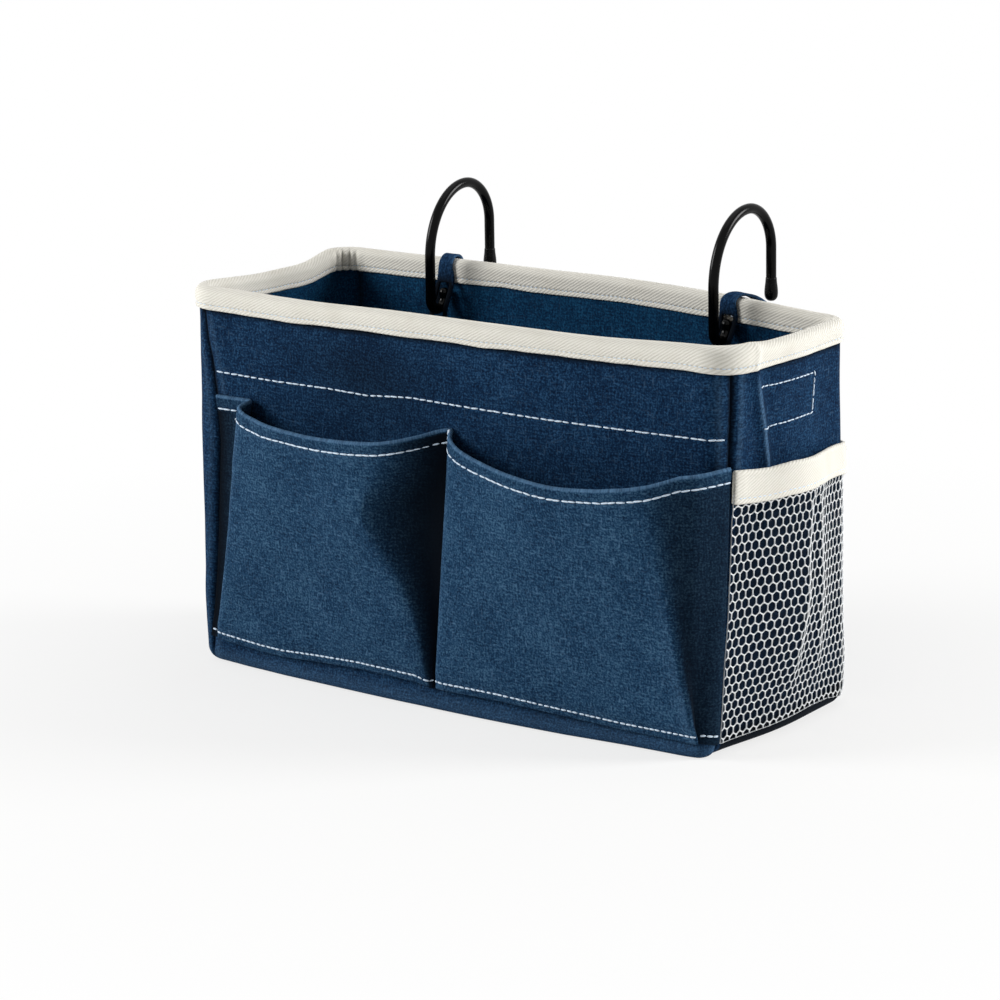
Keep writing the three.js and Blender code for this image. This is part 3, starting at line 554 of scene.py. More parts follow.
# Cut size of a grid of cloth: its longest row, its longest column and the area of its faces.
def cutSize(mid):
    width = np.linalg.norm(np.diff(mid, axis=1), axis=-1).sum(1).max()
    length = np.linalg.norm(np.diff(mid, axis=0), axis=-1).sum(0).max()
    return width, length, faceArea(mid.reshape(-1, 3), gridQuads(*mid.shape[:2])[1])


# Sheet of cloth on a grid.
def addSheet(name, mid, thick, uv, material, nodes, ring=False, wearAndPaintedLight=None):
    points, faces, uvs, same = closedCloth(mid, thick, uv, ring)
    wearAndPaintedLightAll = None if wearAndPaintedLight is None else np.tile(wearAndPaintedLight.ravel(), 3)
    piece = addPiece(name, points, [faces], material, "bag", nodes, uvs, same, wearAndPaintedLightAll)


# Rows of a wall cloth from the base up: a quarter turn under the base, then straight up the wall.
def wallRows(depth, count, curlRows=8):
    angle = np.linspace(np.pi / 2, 0, curlRows + 1)[:-1]
    reach = bag["curl"] - depth
    climb = np.linspace(bag["curl"], bag["wallTop"], count)
    z = np.concatenate([bag["curl"] - reach * np.sin(angle), climb])
    inset = np.concatenate([bag["curl"] - reach * np.cos(angle), np.full(count, depth)])
    return z[:, None], inset[:, None]


wallCloths = dict(rows=84, gap=0.35, shadeClouds=[(0.15, 75, 38, 157, 13), (0.45, 98, 36, 146, 17)])


# Wall cloth between two seams: columns share out the run between the seams at each height. The
# attribute is paler beside the seams and at the foot, and the rest is painted light: painted shade in the
# seams, a painted highlight on the right wall's fold with painted shade beside it, painted shade in two
# clouds on the front above the pockets, a painted shadow under the tape and painted shade behind the net.
def addWall(name, cadNode, fromRun, toRun, spacing=2.2, behindNet=0.0):
    z, inset = wallRows(bag["cloth"] / 2, wallCloths["rows"])
    low, high = fromRun(z) + wallCloths["gap"], toRun(z) - wallCloths["gap"]
    share = np.linspace(0, 1, int(np.max(high - low) / spacing))[None, :]
    run = mix(low, high, share)
    inward = inset - footSpread(run, z)
    mid = wallPoint(stationAt(run), z + footLift(run, z), inward - wallSwell(run, z) * ease(z, 1, 8))
    uv = np.stack([run, np.broadcast_to(z - inset, run.shape)], -1)
    edge = np.minimum(run - low, high - run)
    # Paler beside the seams and at the foot; painted shade in the seams.
    wearAndPaintedLight = 0.3 * hill(edge, 3.6, 1.6) + 0.3 * hill(z, 3.5, 4) - 0.95 * hill(edge, 0, 1.5)
    # Painted shade in two clouds on the front wall above the pockets.
    for dark, along, wide, height, tall in wallCloths["shadeClouds"]:
        wearAndPaintedLight = wearAndPaintedLight - dark * hill(run, along, wide) * hill(z, height, tall)
    # Painted highlight along the fold on the right wall, with painted shade just behind it.
    crest = ease(z, 112, 124) * (1 - ease(z, 158, 168))
    wearAndPaintedLight = wearAndPaintedLight + crest * (1.4 * hill(run, ridgeRun(z), 0.8) - 0.3 * hill(run, ridgeRun(z) + 3.6, 2.4))
    # Painted shadow under the lower edge of the rim tape.
    wearAndPaintedLight = wearAndPaintedLight - 0.85 * ease(z, 166.4, 169.2)
    netShade = behindNet * ease(edge, 1, 4) * (1 - ease(z, 108, 122))
    wearAndPaintedLight = mix(wearAndPaintedLight, -0.8 - 0.4 * ease(z, 12, 4), netShade)
    addSheet(name, mid, bag["cloth"], uv, navyCloth, [cadNode], wearAndPaintedLight=wearAndPaintedLight)


fixed = lambda station: (lambda z: runAt(station) + 0 * z)
backRight, backLeft = fixed(seams["backRight"]), fixed(seams["backLeft"])
addWall("front_cloth", "front_panel", leftSeam, rightSeam)
addWall("right_side_cloth", "right_side_panel", rightSeam, backRight, 0.9, behindNet=1.0)
addWall("back_cloth", "back_panel", backRight, backLeft)
addWall("left_side_cloth", "left_side_panel", backLeft, lambda z: leftSeam(z) + roundTotal)
print("wall cloth sewn")

# Lining: the same walls seen from inside, so the run goes the other way; slack folds swell into the bag,
# and the corner seams are pulled back to the corners. Eye shades are painted shade on the lining behind the
# hooks, as (run past the back right seam, height).
lining = dict(
    depth=4.0, thick=0.8, bottom=4.6, columns=3.0, rows=56, gap=0.4, frontEnd=1.75,
    folds=[(0.5, 38, 11), (0.3, 17, 12)], eyeShades=[(55.5, 166.0), (222.5, 162.0)],
)


def liningSwell(run, z, low, high):
    edge = np.minimum(run - low, high - run)
    loose = 0.5 + sum(depth * softNoise(run, z, size, seed) for depth, size, seed in lining["folds"])
    return np.maximum(loose, 0) * ease(edge, 0, 14) * ease(z, 6, 30) * (1 - ease(z, 150, 172))


def addLining(name, cadNode, fromRun, toRun):
    z = np.linspace(lining["bottom"], bag["wallTop"], lining["rows"])[:, None]
    low, high = fromRun(z) + lining["gap"], toRun(z) - lining["gap"]
    share = np.linspace(1, 0, int(np.max(high - low) / lining["columns"]))[None, :]
    run = mix(low, high, share)
    mid = wallPoint(stationAt(run), z, lining["depth"] + liningSwell(run, z, low, high))
    uv = np.stack([-run, np.broadcast_to(z, run.shape)], -1)
    # Painted shade: darker into each corner, and behind the hooks.
    wearAndPaintedLight = -0.7 * np.exp(-np.minimum(run - low, high - run) / 5.0)
    for along, height in lining["eyeShades"]:
        wearAndPaintedLight = wearAndPaintedLight - 1.1 * hill(run, runAt(seams["backRight"]) + along, 6.0) * hill(z, height, 11.0)
    addSheet(name, mid, lining["thick"], uv, navyInside, [cadNode],
             wearAndPaintedLight=wearAndPaintedLight)


frontEnd = fixed(lining["frontEnd"])
addLining("front_lining_cloth", "front_lining", fixed(0.0), frontEnd)
addLining("right_lining_cloth", "right_lining", frontEnd, backRight)
addLining("back_lining_cloth", "back_lining", backRight, backLeft)
addLining("left_lining_cloth", "left_lining", backLeft, fixed(8.0))

floors = dict(
    rings=26, stations=240, closing=0.03,
    base=dict(gap=0.2, low=0.0, thick=1.0, sag=0.0), lining=dict(inset=4.8, low=3.65, thick=0.8, sag=0.35),
)


# Floor cloths: rings of the wall outline shrunk towards the middle, closed by a face at the centre; the
# upper one sags a little between its edges by soft noise.
def addFloor(name, cadNode, inset, spec, material):
    count, low = floors["stations"], spec["low"]
    station = np.linspace(0, 8, count, endpoint=False)
    ring = wallPoint(station, 0, inset(runAt(station)))[:, :2]
    share = np.linspace(1, floors["closing"], floors["rings"])[:, None, None]
    flat = ring * share
    noise = softNoise(flat[..., 0] + 300, flat[..., 1] + 300, 33, 21)
    swell = spec["sag"] * (noise + 0.4) * (1 - share[..., 0] ** 6)
    top = np.concatenate([flat, (low + spec["thick"] + swell)[..., None]], -1)
    under = np.concatenate([flat, np.full_like(swell, low)[..., None]], -1)
    points = np.concatenate([top, under]).reshape(-1, 3)
    half = len(points) // 2
    index = np.arange(half).reshape(-1, count)
    upper = ringQuads(index)
    outer, follow = index[0], np.roll(index[0], -1)
    skirt = np.stack([follow, outer, outer + half, follow + half], -1)
    caps = np.stack([index[-1], index[-1, ::-1] + half])
    quads = np.concatenate([upper, upper[:, ::-1] + half, skirt])
    piece = addPiece(name, points, [quads, caps], material, "bag", [cadNode], points[:, :2])


baseInset = lambda run: bag["curl"] + floors["base"]["gap"] - footSpread(run, bag["cloth"] / 2)
liningInset = lambda run: floors["lining"]["inset"] + 0 * run
addFloor("base_cloth", "base_panel", baseInset, floors["base"], navyCloth)
addFloor("base_lining_cloth", "base_lining", liningInset, floors["lining"], navyInside)
print("lining and floor laid")

# Rim tape: a strip folded over the wall top. The profile goes up the outer leg, round the crest and down
# the inner leg, and is carried round the bag; its edges waver, it gathers at the inner back left corner
# and turns the front right corner in a crease.
rimTape = dict(
    outerLeg=10.0, innerLeg=10.0, thick=1.0, middle=2.2, reach=3.0, crest=179.5, step=1.2, rows=61,
    around=26.0, waver=0.35, foldRun=296, hollowRun=289, cornerRun=288, cornerDrop=1.6, strapShadowRun=49.5,
    stitchWay=0.085,
)
rimThread = dict(pitch=2.6, length=1.9, width=0.5, high=0.3)


def rimProfile(spec, legRows=9, crestRows=11):
    angle = np.linspace(np.pi, 0, crestRows)
    centre = spec["crest"] - spec["reach"]
    outer = np.linspace(bag["height"] - spec["outerLeg"], centre, legRows)[:-1]
    inner = np.linspace(centre, bag["height"] - spec["innerLeg"], legRows)[1:]
    inset = np.concatenate([
        np.full(legRows - 1, spec["middle"] - spec["reach"]),
        spec["middle"] + spec["reach"] * np.cos(angle),
        np.full(legRows - 1, spec["middle"] + spec["reach"])])
    return inset, np.concatenate([outer, centre + spec["reach"] * np.sin(angle), inner])


def rimSurface(run, way, lift):  # way 0..1 along the profile from the outer to the inner edge
    inset, z = rimProfile(rimTape)
    along = wayAlong(np.stack([inset, z], -1))
    inset, z = np.interp(way * along[-1], along, inset), np.interp(way * along[-1], along, z)
    loop = run + 0 * way
    outer, inner = ease(way, 0.48, 0.42), ease(way, 0.52, 0.58)
    near = loop - runAt(5.5)
    gather = np.cos(near * 1.05) * np.exp(-((near / 9) ** 2)) * ease(way, 0.5, 0.75)
    wave = rimTape["waver"] * softNoise(loop, 40 * way, 23, 31) + 0.18 * softNoise(loop, 60 * way, 8, 32)
    fold = hill(loop, rimTape["foldRun"], 2.2) - 0.15 * hill(loop, rimTape["hollowRun"], 5)
    bulge = lift + 0.55 * hill(way, 0.24, 0.13) + 0.3 * hill(way, 0.04, 0.05)
    bulge = bulge + 1.1 * gather + 0.35 * wave + 0.8 * fold * outer
    sewn = rimTape["stitchWay"]
    bulge = bulge - 0.45 * hill(way, sewn, 0.02) - 0.35 * hill(way, 1 - sewn, 0.02)
    edge = ease(way, 0.2, 0.0) + ease(way, 0.8, 1.0)
    drop = rimTape["cornerDrop"] * hill(loop, rimTape["cornerRun"], 16) * ease(way, 0.3, 0.0)
    return wallPoint(stationAt(loop), z - 0.9 * wave * edge - drop, inset + bulge * (inner - outer))


def addRimTape(spec):
    run = np.linspace(0, roundTotal, int(roundTotal / spec["step"]) + 1)[None, :]
    way = np.linspace(0, 1, spec["rows"])[:, None]
    mid = rimSurface(run, way, 0.0)
    uv = np.stack(np.broadcast_arrays(run, way * spec["around"]), -1)
    sewn = spec["stitchWay"]
    # Painted shade along both stitch lines, and a painted shadow on the inner leg behind the right strap.
    seam = 0.52 * (hill(way, sewn, 0.012) + hill(way, 1 - sewn, 0.012)) + 0 * run
    strapShadow = hill(run, runAt(seams["backRight"]) + spec["strapShadowRun"], 5.0) * ease(way, 0.55, 0.66)
    wearAndPaintedLight = np.maximum(seam, strapShadow)  # painted shade at the stitches and behind the strap
    addSheet("rim_tape", mid, spec["thick"], uv, creamTape, ["rim_binding"],
             ring=True, wearAndPaintedLight=wearAndPaintedLight)


addRimTape(rimTape)
print("rim bound")

# Front pockets. Each bay is a section at the hem and one at the bottom, both as rows of
# (X, distance from the wall, dip of the hem), joined by straight lines and swelled by soft noise. Shade
# is painted shade at each row, at the hem and low down, and a painted highlight where it is below zero.
# Slump is how far each row has sunk sideways and outwards at two thirds of the height.
pockets = dict(
    top=128.0, drop=117.0, seamTop=5.2, seamBottom=-2.2, thick=1.2, hem=6.2, hemMore=0.8, columns=190,
    rows=76, slumpAt=0.69, crumples=[(0.7, 0.0, 33), (0.35, 0.6, 13)], middle=138.0,
    bottomAt=[-138, -105, -92, -70, -46, -26, -11, -4, 0, 18, 35, 69, 102, 141, 150],
    bottom=[13.6, 11.2, 10.9, 12.2, 13.2, 13.0, 12.6, 11.0, 11.0, 11.2, 11.1, 9.5, 7.9, 7.4, 6.4],
)
leftBay = dict(
    hem=[(-138, 0.9, -1.3), (-127, 1.0, -1.4), (-116, 1.3, -1.6), (-112.6, 2.2, -1.8), (-111.6, 4.2, -1.7),
         (-112.0, 6.2, -1.4), (-113.0, 8.4, -0.9), (-112.4, 10.4, 0.4), (-108, 12.2, 2.2), (-100, 14.2, 3.6),
         (-87, 17.2, 5.0), (-63, 20.6, 5.7), (-42, 22.4, 5.0), (-24, 21.6, 3.9), (-15, 18.8, 2.7),
         (-10, 15.2, 1.7), (-5, 9.6, 0.4), (-0.2, 3.8, -1.2), (4.9, 0.9, -2.3)],
    bottom=[(-138, 0.8, 0), (-136.5, 0.9, 0), (-135, 1.1, 0), (-132.5, 1.5, 0), (-131, 2.0, 0),
            (-131.5, 2.5, 0), (-132.5, 3.0, 0), (-133.0, 3.6, 0), (-131.5, 4.2, 0), (-126, 4.5, 0),
            (-110, 4.6, 0), (-80, 4.6, 0), (-45, 4.7, 0), (-15, 4.8, 0), (-5.5, 4.7, 0), (-3.8, 4.0, 0),
            (-3.0, 2.6, 0), (-2.2, 1.4, 0), (-1.6, 0.8, 0)],
    shadeHem=[1.0, 0.75, 0.4, 0.7, 0.85, 0.5, 0.1, -0.35, 0, 0, 0, 0, 0, 0.04, 0.2, 0.5, 0.8, 0.95, 1.0],
    shadeLow=[1.0, 1.0, 0.9, 0.9, 0.9, 0.6, 0.1, -0.4, -0.05, 0, 0, 0, 0, 0, 0.2, 0.75, 0.95, 1.0, 1.0],
    slumpX=[0, 0, 0, 0, 0, 0, 0, 0, 0, 0, 0, 0, -3, -12, -17, -15, -10, -5.4, 0],
    slumpOut=[0, 0, 0, 0, 0, 0, 0, 0, 0, 0, 0, 0.6, 2.5, 3.6, 4.1, 1.3, -0.9, -1.2, 0],
    bend=1.2, hemDark=0.9, seed=41,
)
rightBay = dict(
    hem=[(5.2, 0.9, -2.3), (6.2, 3.0, -1.0), (7.8, 5.2, 0.7), (12, 8.2, 2.5), (19, 11.6, 4.4),
         (31, 15.6, 6.6), (50.8, 20.4, 9.4), (74.8, 24.0, 11.1), (97, 25.2, 9.8), (109, 25.0, 8.2),
         (116, 24.2, 7.2), (120.5, 23.2, 6.3), (124.5, 21.8, 5.5), (130.5, 18.6, 3.6), (137.4, 13.6, 1.2),
         (143, 5.4, 0.2), (147.6, 1.0, 0)],
    bottom=[(-1.2, 0.8, 0), (-0.6, 2.0, 0), (0.2, 3.2, 0), (3, 4.2, 0), (10, 4.7, 0), (24, 4.9, 0),
            (46, 5.1, 0), (72, 5.2, 0), (98, 5.2, 0), (116, 5.2, 0), (130, 5.1, 0), (136.6, 5.0, 0),
            (137.9, 4.6, 0), (137.4, 3.2, 0), (136.6, 1.9, 0), (139.5, 1.2, 0), (149.6, 0.8, 0)],
    shadeHem=[0, -0.2, -0.2, 0, 0, 0, 0, 0, 0, 0, 0, 0.06, 0.2, 0.45, 0.55, 0.6, 0.65],
    shadeLow=[0.3, -0.2, -0.2, 0, 0, 0, 0, 0, 0, 0, 0, -0.25, 0.2, 0.95, 0.92, 0.8, 0.75],
    slumpX=[0] * 17, slumpOut=[0] * 17, bend=1.0, hemDark=0.3, seed=43,
)
seamLean = lambda z: mix(pockets["seamBottom"], pockets["seamTop"], z / pockets["top"])
centreSeam = lambda z: seamLean(z) + pockets["middle"]


def baySpan(bay, z):  # run of the two side seams of a bay
    if bay is leftBay:
        return leftSeam(z) + 1.0, centreSeam(z) - 0.2
    return centreSeam(z) + 0.2, rightSeam(z) - 0.9


# Rows of a bay joined by smooth curves, sampled evenly along the hem section.
def bayCurves(bay, count=900):
    more = np.stack([bay[key] for key in ("slumpX", "slumpOut", "shadeHem", "shadeLow")], 1)
    sections = [np.array(bay[key], float) for key in ("hem", "bottom")]
    return np.linspace(0, 1, count), smoothCurve(np.concatenate([*sections, more], 1), count).T


# Point of a bay: column 0..1 across it, share 0..1 from its bottom edge to its hem. The run goes from the
# bottom section to the hem section by a power of the share, and its two ends are drawn onto the seams.
def baySurface(bay, column, share, lift):
    places, curves = bayCurves(bay)
    curves = (np.interp(column, places, c) for c in curves)
    hemX, hemOut, hemDip, lowX, lowOut, _, slumpX, slumpOut, _, _ = curves
    slump = hill(share, pockets["slumpAt"], np.where(share < pockets["slumpAt"], 0.28, 0.17))
    x = mix(lowX, hemX, share ** mix(1.0, bay["bend"], column)) + slump * slumpX
    z = mix(np.interp(x, pockets["bottomAt"], pockets["bottom"]), pockets["top"] - hemDip, share)
    low, high = baySpan(bay, z)
    start = mix(bay["bottom"][0][0], bay["hem"][0][0], share) + pockets["middle"]
    end = mix(bay["bottom"][-1][0], bay["hem"][-1][0], share ** bay["bend"]) + pockets["middle"]
    run = x + pockets["middle"]
    across = np.clip((run - start) / (end - start), 0, 1)
    run = run + (low - start) * (1 - across) ** 12 + (high - end) * across**12
    sewn = ease(share, 0.0, 0.07)
    out = mix(lowOut, hemOut, share) + slump * slumpOut
    out = 0.9 + (out - 0.9) * mix(0.5, 1.0, sewn)
    free = ease(out, 2.5, 8.0) * (1 - ease(share, 0.93, 1.0)) * sewn
    crumple = sum(depth * softNoise(run + lean * z, z, size, bay["seed"] + k)
                  for k, (depth, lean, size) in enumerate(pockets["crumples"]))
    return wallPoint(stationAt(run), z, -(out + free * crumple) - lift), z


# Bay cloth: thicker along the turned hem, with a groove at its stitches. The attribute here is painted
# light: a painted highlight on sharp folds and along the hem's top edge, paler just under the hem, and
# painted shade by the shades of the bay, which the hem partly keeps, darkened a little more.
def addBay(name, cadNode, bay):
    column = np.linspace(0, 1, pockets["columns"])[None, :]
    share = np.concatenate([np.linspace(0, 0.9, pockets["rows"] - 16), np.linspace(0.9, 1, 17)[1:]])[:, None]
    mid, z = baySurface(bay, column, share, 0.0)
    below = pockets["drop"] * (1 - share) + 0 * column  # mm below the hem
    hem = 1 - ease(below, pockets["hem"] - 0.6, pockets["hem"] + 0.6)
    groove = 0.45 * hill(below, pockets["hem"] - 0.8, 0.7)
    thick = pockets["thick"] + pockets["hemMore"] * hem - groove
    steps = np.linalg.norm(np.diff(mid, axis=1), axis=-1)
    width = np.concatenate([np.zeros((len(mid), 1)), np.cumsum(steps, 1)], 1)
    uv = np.stack([width, z], -1)
    bend = np.abs(np.gradient(np.gradient(mid, axis=1), axis=1)).sum(-1)
    places, curves = bayCurves(bay)
    shadeHem, shadeLow = (np.interp(column, places, curve) for curve in curves[-2:])
    kept = mix(0.3, bay["hemDark"], ease(column, 0.6, 0.75))  # how dark the hem stays
    shade = mix(shadeLow, shadeHem, share) * mix(1.0, kept, hem) + 0.12 * hem
    pale = 0.25 * ease(bend, 0.12, 0.5) + 0.2 * hill(below, pockets["hem"], 1.2)
    wearAndPaintedLight = mix(pale * (shade < 0.2) - shade, 0.95, hill(below, 0, 0.5))
    addSheet(name, mid, thick, uv, navyPocket, [cadNode],
             wearAndPaintedLight=wearAndPaintedLight)


addBay("left_pocket_cloth", "front_pocket_left", leftBay)
addBay("right_pocket_cloth", "front_pocket_right", rightBay)
print("pockets pleated")

# Side net: honeycomb cells over a swelled side wall. Each cell is the band between six corners with the
# middles of their edges and a rounded hole; the band stands up along its middle line like a knitted strand.
net = dict(
    bottom=3.6, top=117.0, columns=27, rows=27, hole=0.86, strand=0.38, crowd=0.08, seat=0.9, backSeat=0.5,
    bulge=7.0, bulgeShare=0.82, seamGap=0.9, backEdge=0.985,
    hemAt=[0, 0.3, 0.6, 0.72, 0.84, 1], hem=[2.4, 2.6, 3.8, 3.0, -0.6, -1.2],
    tapeFront=126.5, tapeWidth=14.0, tapeHalf=0.95, tapeThick=0.9, tapeLength=118.0, tapeAround=30.0,
    tapeAt=[0, 0.11, 0.18, 0.3, 0.53, 0.83, 1], tapeTop=[126.9, 125.7, 125.5, 126.5, 125.9, 123.8, 121.6],
    stitchWay=0.075,
)
netThread = dict(pitch=2.8, length=2.0, width=0.5, high=0.3)


# Point of the net: share 0..1 from the front seam to the back. It stands off the wall by a seat, by room
# under the tape, by a sine squared bulge, and by two slack folds with a hollow between them.
def netSpot(share, z, lift):
    first, wallStart, wallEnd = rightSeam(z) + net["seamGap"], runAt(1.0), runAt(seams["backRight"])
    run = mix(first, wallStart + net["backEdge"] * (wallEnd - wallStart), share)
    across = np.sin(np.pi * np.minimum(share / net["bulgeShare"], 1)) ** 2
    climb = np.clip((z - net["bottom"]) / (net["tapeFront"] - net["bottom"]), 0, 1)
    room = mix(0.5, 1.3, ease(share, 0.0, 0.12)) * mix(1.0, 0.3, ease(share, 0.7, 0.9)) * ease(z, 105, 109)
    folds = 1.6 * hill(share, 0.40 + 0.0006 * z, 0.035) + 1.3 * hill(share, 0.63 - 0.0004 * z, 0.03)
    folds = ease(z, 8, 40) * (folds - 0.9 * hill(share, 0.51, 0.05))
    wave = 0.5 * softNoise(run, z, 21, 51) * ease(z, 4, 20)
    seat = mix(net["seat"], net["backSeat"], ease(share, 0.72, 0.88))
    out = seat + room + net["bulge"] * across * ease(climb, 0, 0.5) + (folds + wave) * (1 - ease(z, 100, 118))
    high = z + np.interp(share, net["hemAt"], net["hem"]) * (1 - ease(z, 3, 40))  # sewn above the floor
    under = np.maximum(bag["curl"] - high, 0)
    tuck = bag["curl"] - np.sqrt(bag["curl"] ** 2 - under**2)
    return wallPoint(stationAt(run), high + footLift(run, high), tuck - out - lift)


def addNet(spec):
    pitchX, pitchZ = 1 / spec["columns"], (spec["top"] - spec["bottom"]) / spec["rows"]
    cells = np.meshgrid(np.arange(spec["rows"] + 1), np.arange(spec["columns"] + 1), indexing="ij")
    row, column = (v.ravel() for v in cells)
    centre = np.stack([(column + 0.5 * (row % 2)) * pitchX, spec["bottom"] + row * pitchZ], -1)
    turn = np.arange(6) * np.pi / 3 + np.pi / 6
    hexagon = np.stack([np.cos(turn) / np.cos(np.pi / 6) / 2 * pitchX, np.sin(turn) * pitchZ / 1.5], -1)
    ring = np.stack([hexagon, (hexagon + np.roll(hexagon, -1, 0)) / 2], 1).reshape(12, 2)
    rounder = np.tile([0.94, 1.04], 6)[:, None]  # the hole's corners are drawn in

    def inside(p):  # cut off at the edges, with the cells crowded together at the back
        share = np.clip(p[..., 0], 0, 1)
        crowded = (1 + spec["crowd"]) * share - spec["crowd"] * share**6
        return np.stack([crowded, np.clip(p[..., 1], spec["bottom"], spec["top"])], -1)

    band = inside(centre[:, None, :] + ring)
    hole = inside(centre[:, None, :] + ring * rounder * spec["hole"])
    wide, tall = np.ptp(band[..., 0], axis=1), np.ptp(band[..., 1], axis=1)
    whole = (wide > 0.3 * pitchX) & (tall > 0.3 * pitchZ)
    band, hole = band[whole], hole[whole]
    spots = [netSpot(p[..., 0], p[..., 1], lift)
             for p, lift in ((band, spec["strand"]), (band, -spec["strand"]), (hole, 0.0))]
    points = np.concatenate([s.reshape(-1, 3) for s in spots])
    size = band.shape[0] * 12
    index = np.arange(size).reshape(-1, 12)
    follow = np.roll(index, -1, 1)
    front = np.stack([index, follow, follow + 2 * size, index + 2 * size], -1).reshape(-1, 4)
    backs = np.stack([index + size, index + 2 * size, follow + 2 * size, follow + size], -1).reshape(-1, 4)
    _, firstOf, back = np.unique(np.round(points, 3), axis=0, return_index=True, return_inverse=True)
    piece = addPiece("side_net", points, [front, backs], whiteNet, "bag", ["mesh_pocket"],
                     same=firstOf[back.ravel()])
    heights = np.linspace(spec["bottom"], spec["top"], 60)[:, None]
    width, length, area = cutSize(netSpot(np.linspace(0, 1, 60)[None, :], heights, 0.0))  # holes and all


addNet(net)


# Tape folded over the top edge of the net: up the outer leg, over, and down the inner leg.
def netTapeSurface(share, way, lift):
    half, leg = net["tapeHalf"], net["tapeWidth"]
    path = np.array([(half, -leg), (half, -half), (0.7 * half, -0.3 * half), (0, 0),
                     (-0.7 * half, -0.3 * half), (-half, -half), (-half, -leg)])
    along = wayAlong(path)
    out, z = (np.interp(way * along[-1], along, path[:, k]) for k in (0, 1))
    share = share + 0 * way
    waver = 0.35 * softNoise(120 * share, 40 * way, 19, 61)
    top = np.interp(share, net["tapeAt"], net["tapeTop"])
    dent = 0.25 * hill(way, net["stitchWay"], 0.02)
    side = np.where(way < 0.5, 1, -1) * np.abs(np.clip(4 * (0.5 - way), -1, 1))
    rise = top + z + waver * np.abs(2 * way - 1)
    return netSpot(share, rise, 0.2 + out + side * (lift - dent + 0.3 * waver))


def addNetTape(spec):
    share, way = np.linspace(0.0, 1.0, 90)[None, :], np.linspace(0, 1, 45)[:, None]
    mid = netTapeSurface(share, way, 0.0)
    uv = np.stack(np.broadcast_arrays(share * spec["tapeLength"], way * spec["tapeAround"]), -1)
    addSheet("net_tape", mid, spec["tapeThick"], uv, creamTape, ["mesh_pocket_binding"])


addNetTape(net)
print("net hung")

# Hooks: a round wire along heel, stem, arch and open leg, about the centre of its heel. The dipped cap has
# a rounded nose, is widest a third of the way up and ends in a thin collar: rows of (share of its radius,
# height).
hooks = dict(
    left=(-80.476, 43.883, 164.812), right=(86.52, 38.046, 168.676), wire=2.4, heel=5.2, heelReturn=2.0,
    archWidth=46.5, archHeight=52.4, archFront=(27.7, 33.0), archBack=20.6, tipDrop=45.5, tipLength=11.0,
    tipOverlap=2.0, tip=3.15, around=28,
    cap=[(0.12, 0.0), (0.3, 0.05), (0.55, 0.35), (0.8, 1.1), (0.95, 2.2), (1.0, 3.6), (0.99, 5.2),
         (0.93, 7.0), (0.86, 8.8), (0.83, 10.2), (0.81, 10.8), (0.77, 11.0)],
)


# Tube: circles of given radius round a path in the YZ plane, closed by a face at each end.
def addTube(name, path, radius, place, material, body, cadNode):
    tangent = unit(np.gradient(path, axis=0))
    angle = np.linspace(0, 2 * np.pi, hooks["around"], endpoint=False)
    side = radius[:, None] * np.sin(angle)
    x = radius[:, None] * np.cos(angle)
    y = path[:, :1] + side * tangent[:, 1:]
    z = path[:, 1:] - side * tangent[:, :1]
    points = (np.stack([x, y, z], -1) + np.array(place)).reshape(-1, 3)
    index = np.arange(len(points)).reshape(len(path), -1)
    caps = np.stack([index[0, ::-1], index[-1]])
    addPiece(name, points, [ringQuads(index), caps], material, body, [cadNode])


# The arch is two quarter ellipses, a long one from the stem to the crown and a short one to the open leg.
def hookPath(spec):
    heel = np.linspace(0, -np.pi, 40)
    bow = np.linspace(np.pi, 0, 91)
    dome = np.linspace(np.pi / 2 - 0.06, 0, 9)
    wide = np.where(bow > np.pi / 2, spec["archFront"][0], spec["archWidth"] - spec["archFront"][0])
    high = np.where(bow > np.pi / 2, spec["archFront"][1], spec["archBack"])
    stem = np.linspace(0, spec["archHeight"] - high[0], 24)[1:-1]
    legEnd = spec["archHeight"] - spec["tipDrop"] + spec["tipLength"] - spec["tipOverlap"]
    leg = np.linspace(spec["archHeight"] - high[-1], legEnd, 12)[1:]
    wire = spec["wire"]
    y = [np.full(9, spec["heel"]), spec["heel"] * np.cos(heel), np.full(len(stem), -spec["heel"]),
         spec["archFront"][0] - spec["heel"] + wide * np.cos(bow),
         np.full(len(leg), spec["archWidth"] - spec["heel"])]
    z = [spec["heelReturn"] + wire * np.sin(dome), spec["heel"] * np.sin(heel), stem,
         spec["archHeight"] - high + high * np.sin(bow), leg]
    even = np.full(len(heel) + len(stem) + len(bow) + len(leg), wire)
    return np.stack([np.concatenate(y), np.concatenate(z)], -1), np.concatenate([wire * np.cos(dome), even])


def addHook(side, capRows=40):
    path, radius = hookPath(hooks)
    place, body = hooks[side], side + "_hook"
    addTube(side + "_hook_wire", path, radius, place, blackEnamel, body, body)
    low = hooks["archHeight"] - hooks["tipDrop"]
    shape = smoothCurve([(share * hooks["tip"], height) for share, height in hooks["cap"]], capRows)
    path = np.stack([np.full(capRows, hooks["archWidth"] - hooks["heel"]), low + shape[:, 1]], -1)
    path[1:, 1] = np.maximum(path[1:, 1], path[0, 1] + 1e-3 * np.arange(1, capRows))  # always rising
    addTube(side + "_hook_cap", path, shape[:, 0], place, blackCap, body, side + "_hook_tip")


for side in ("left", "right"):
    addHook(side)
print("hooks bent")

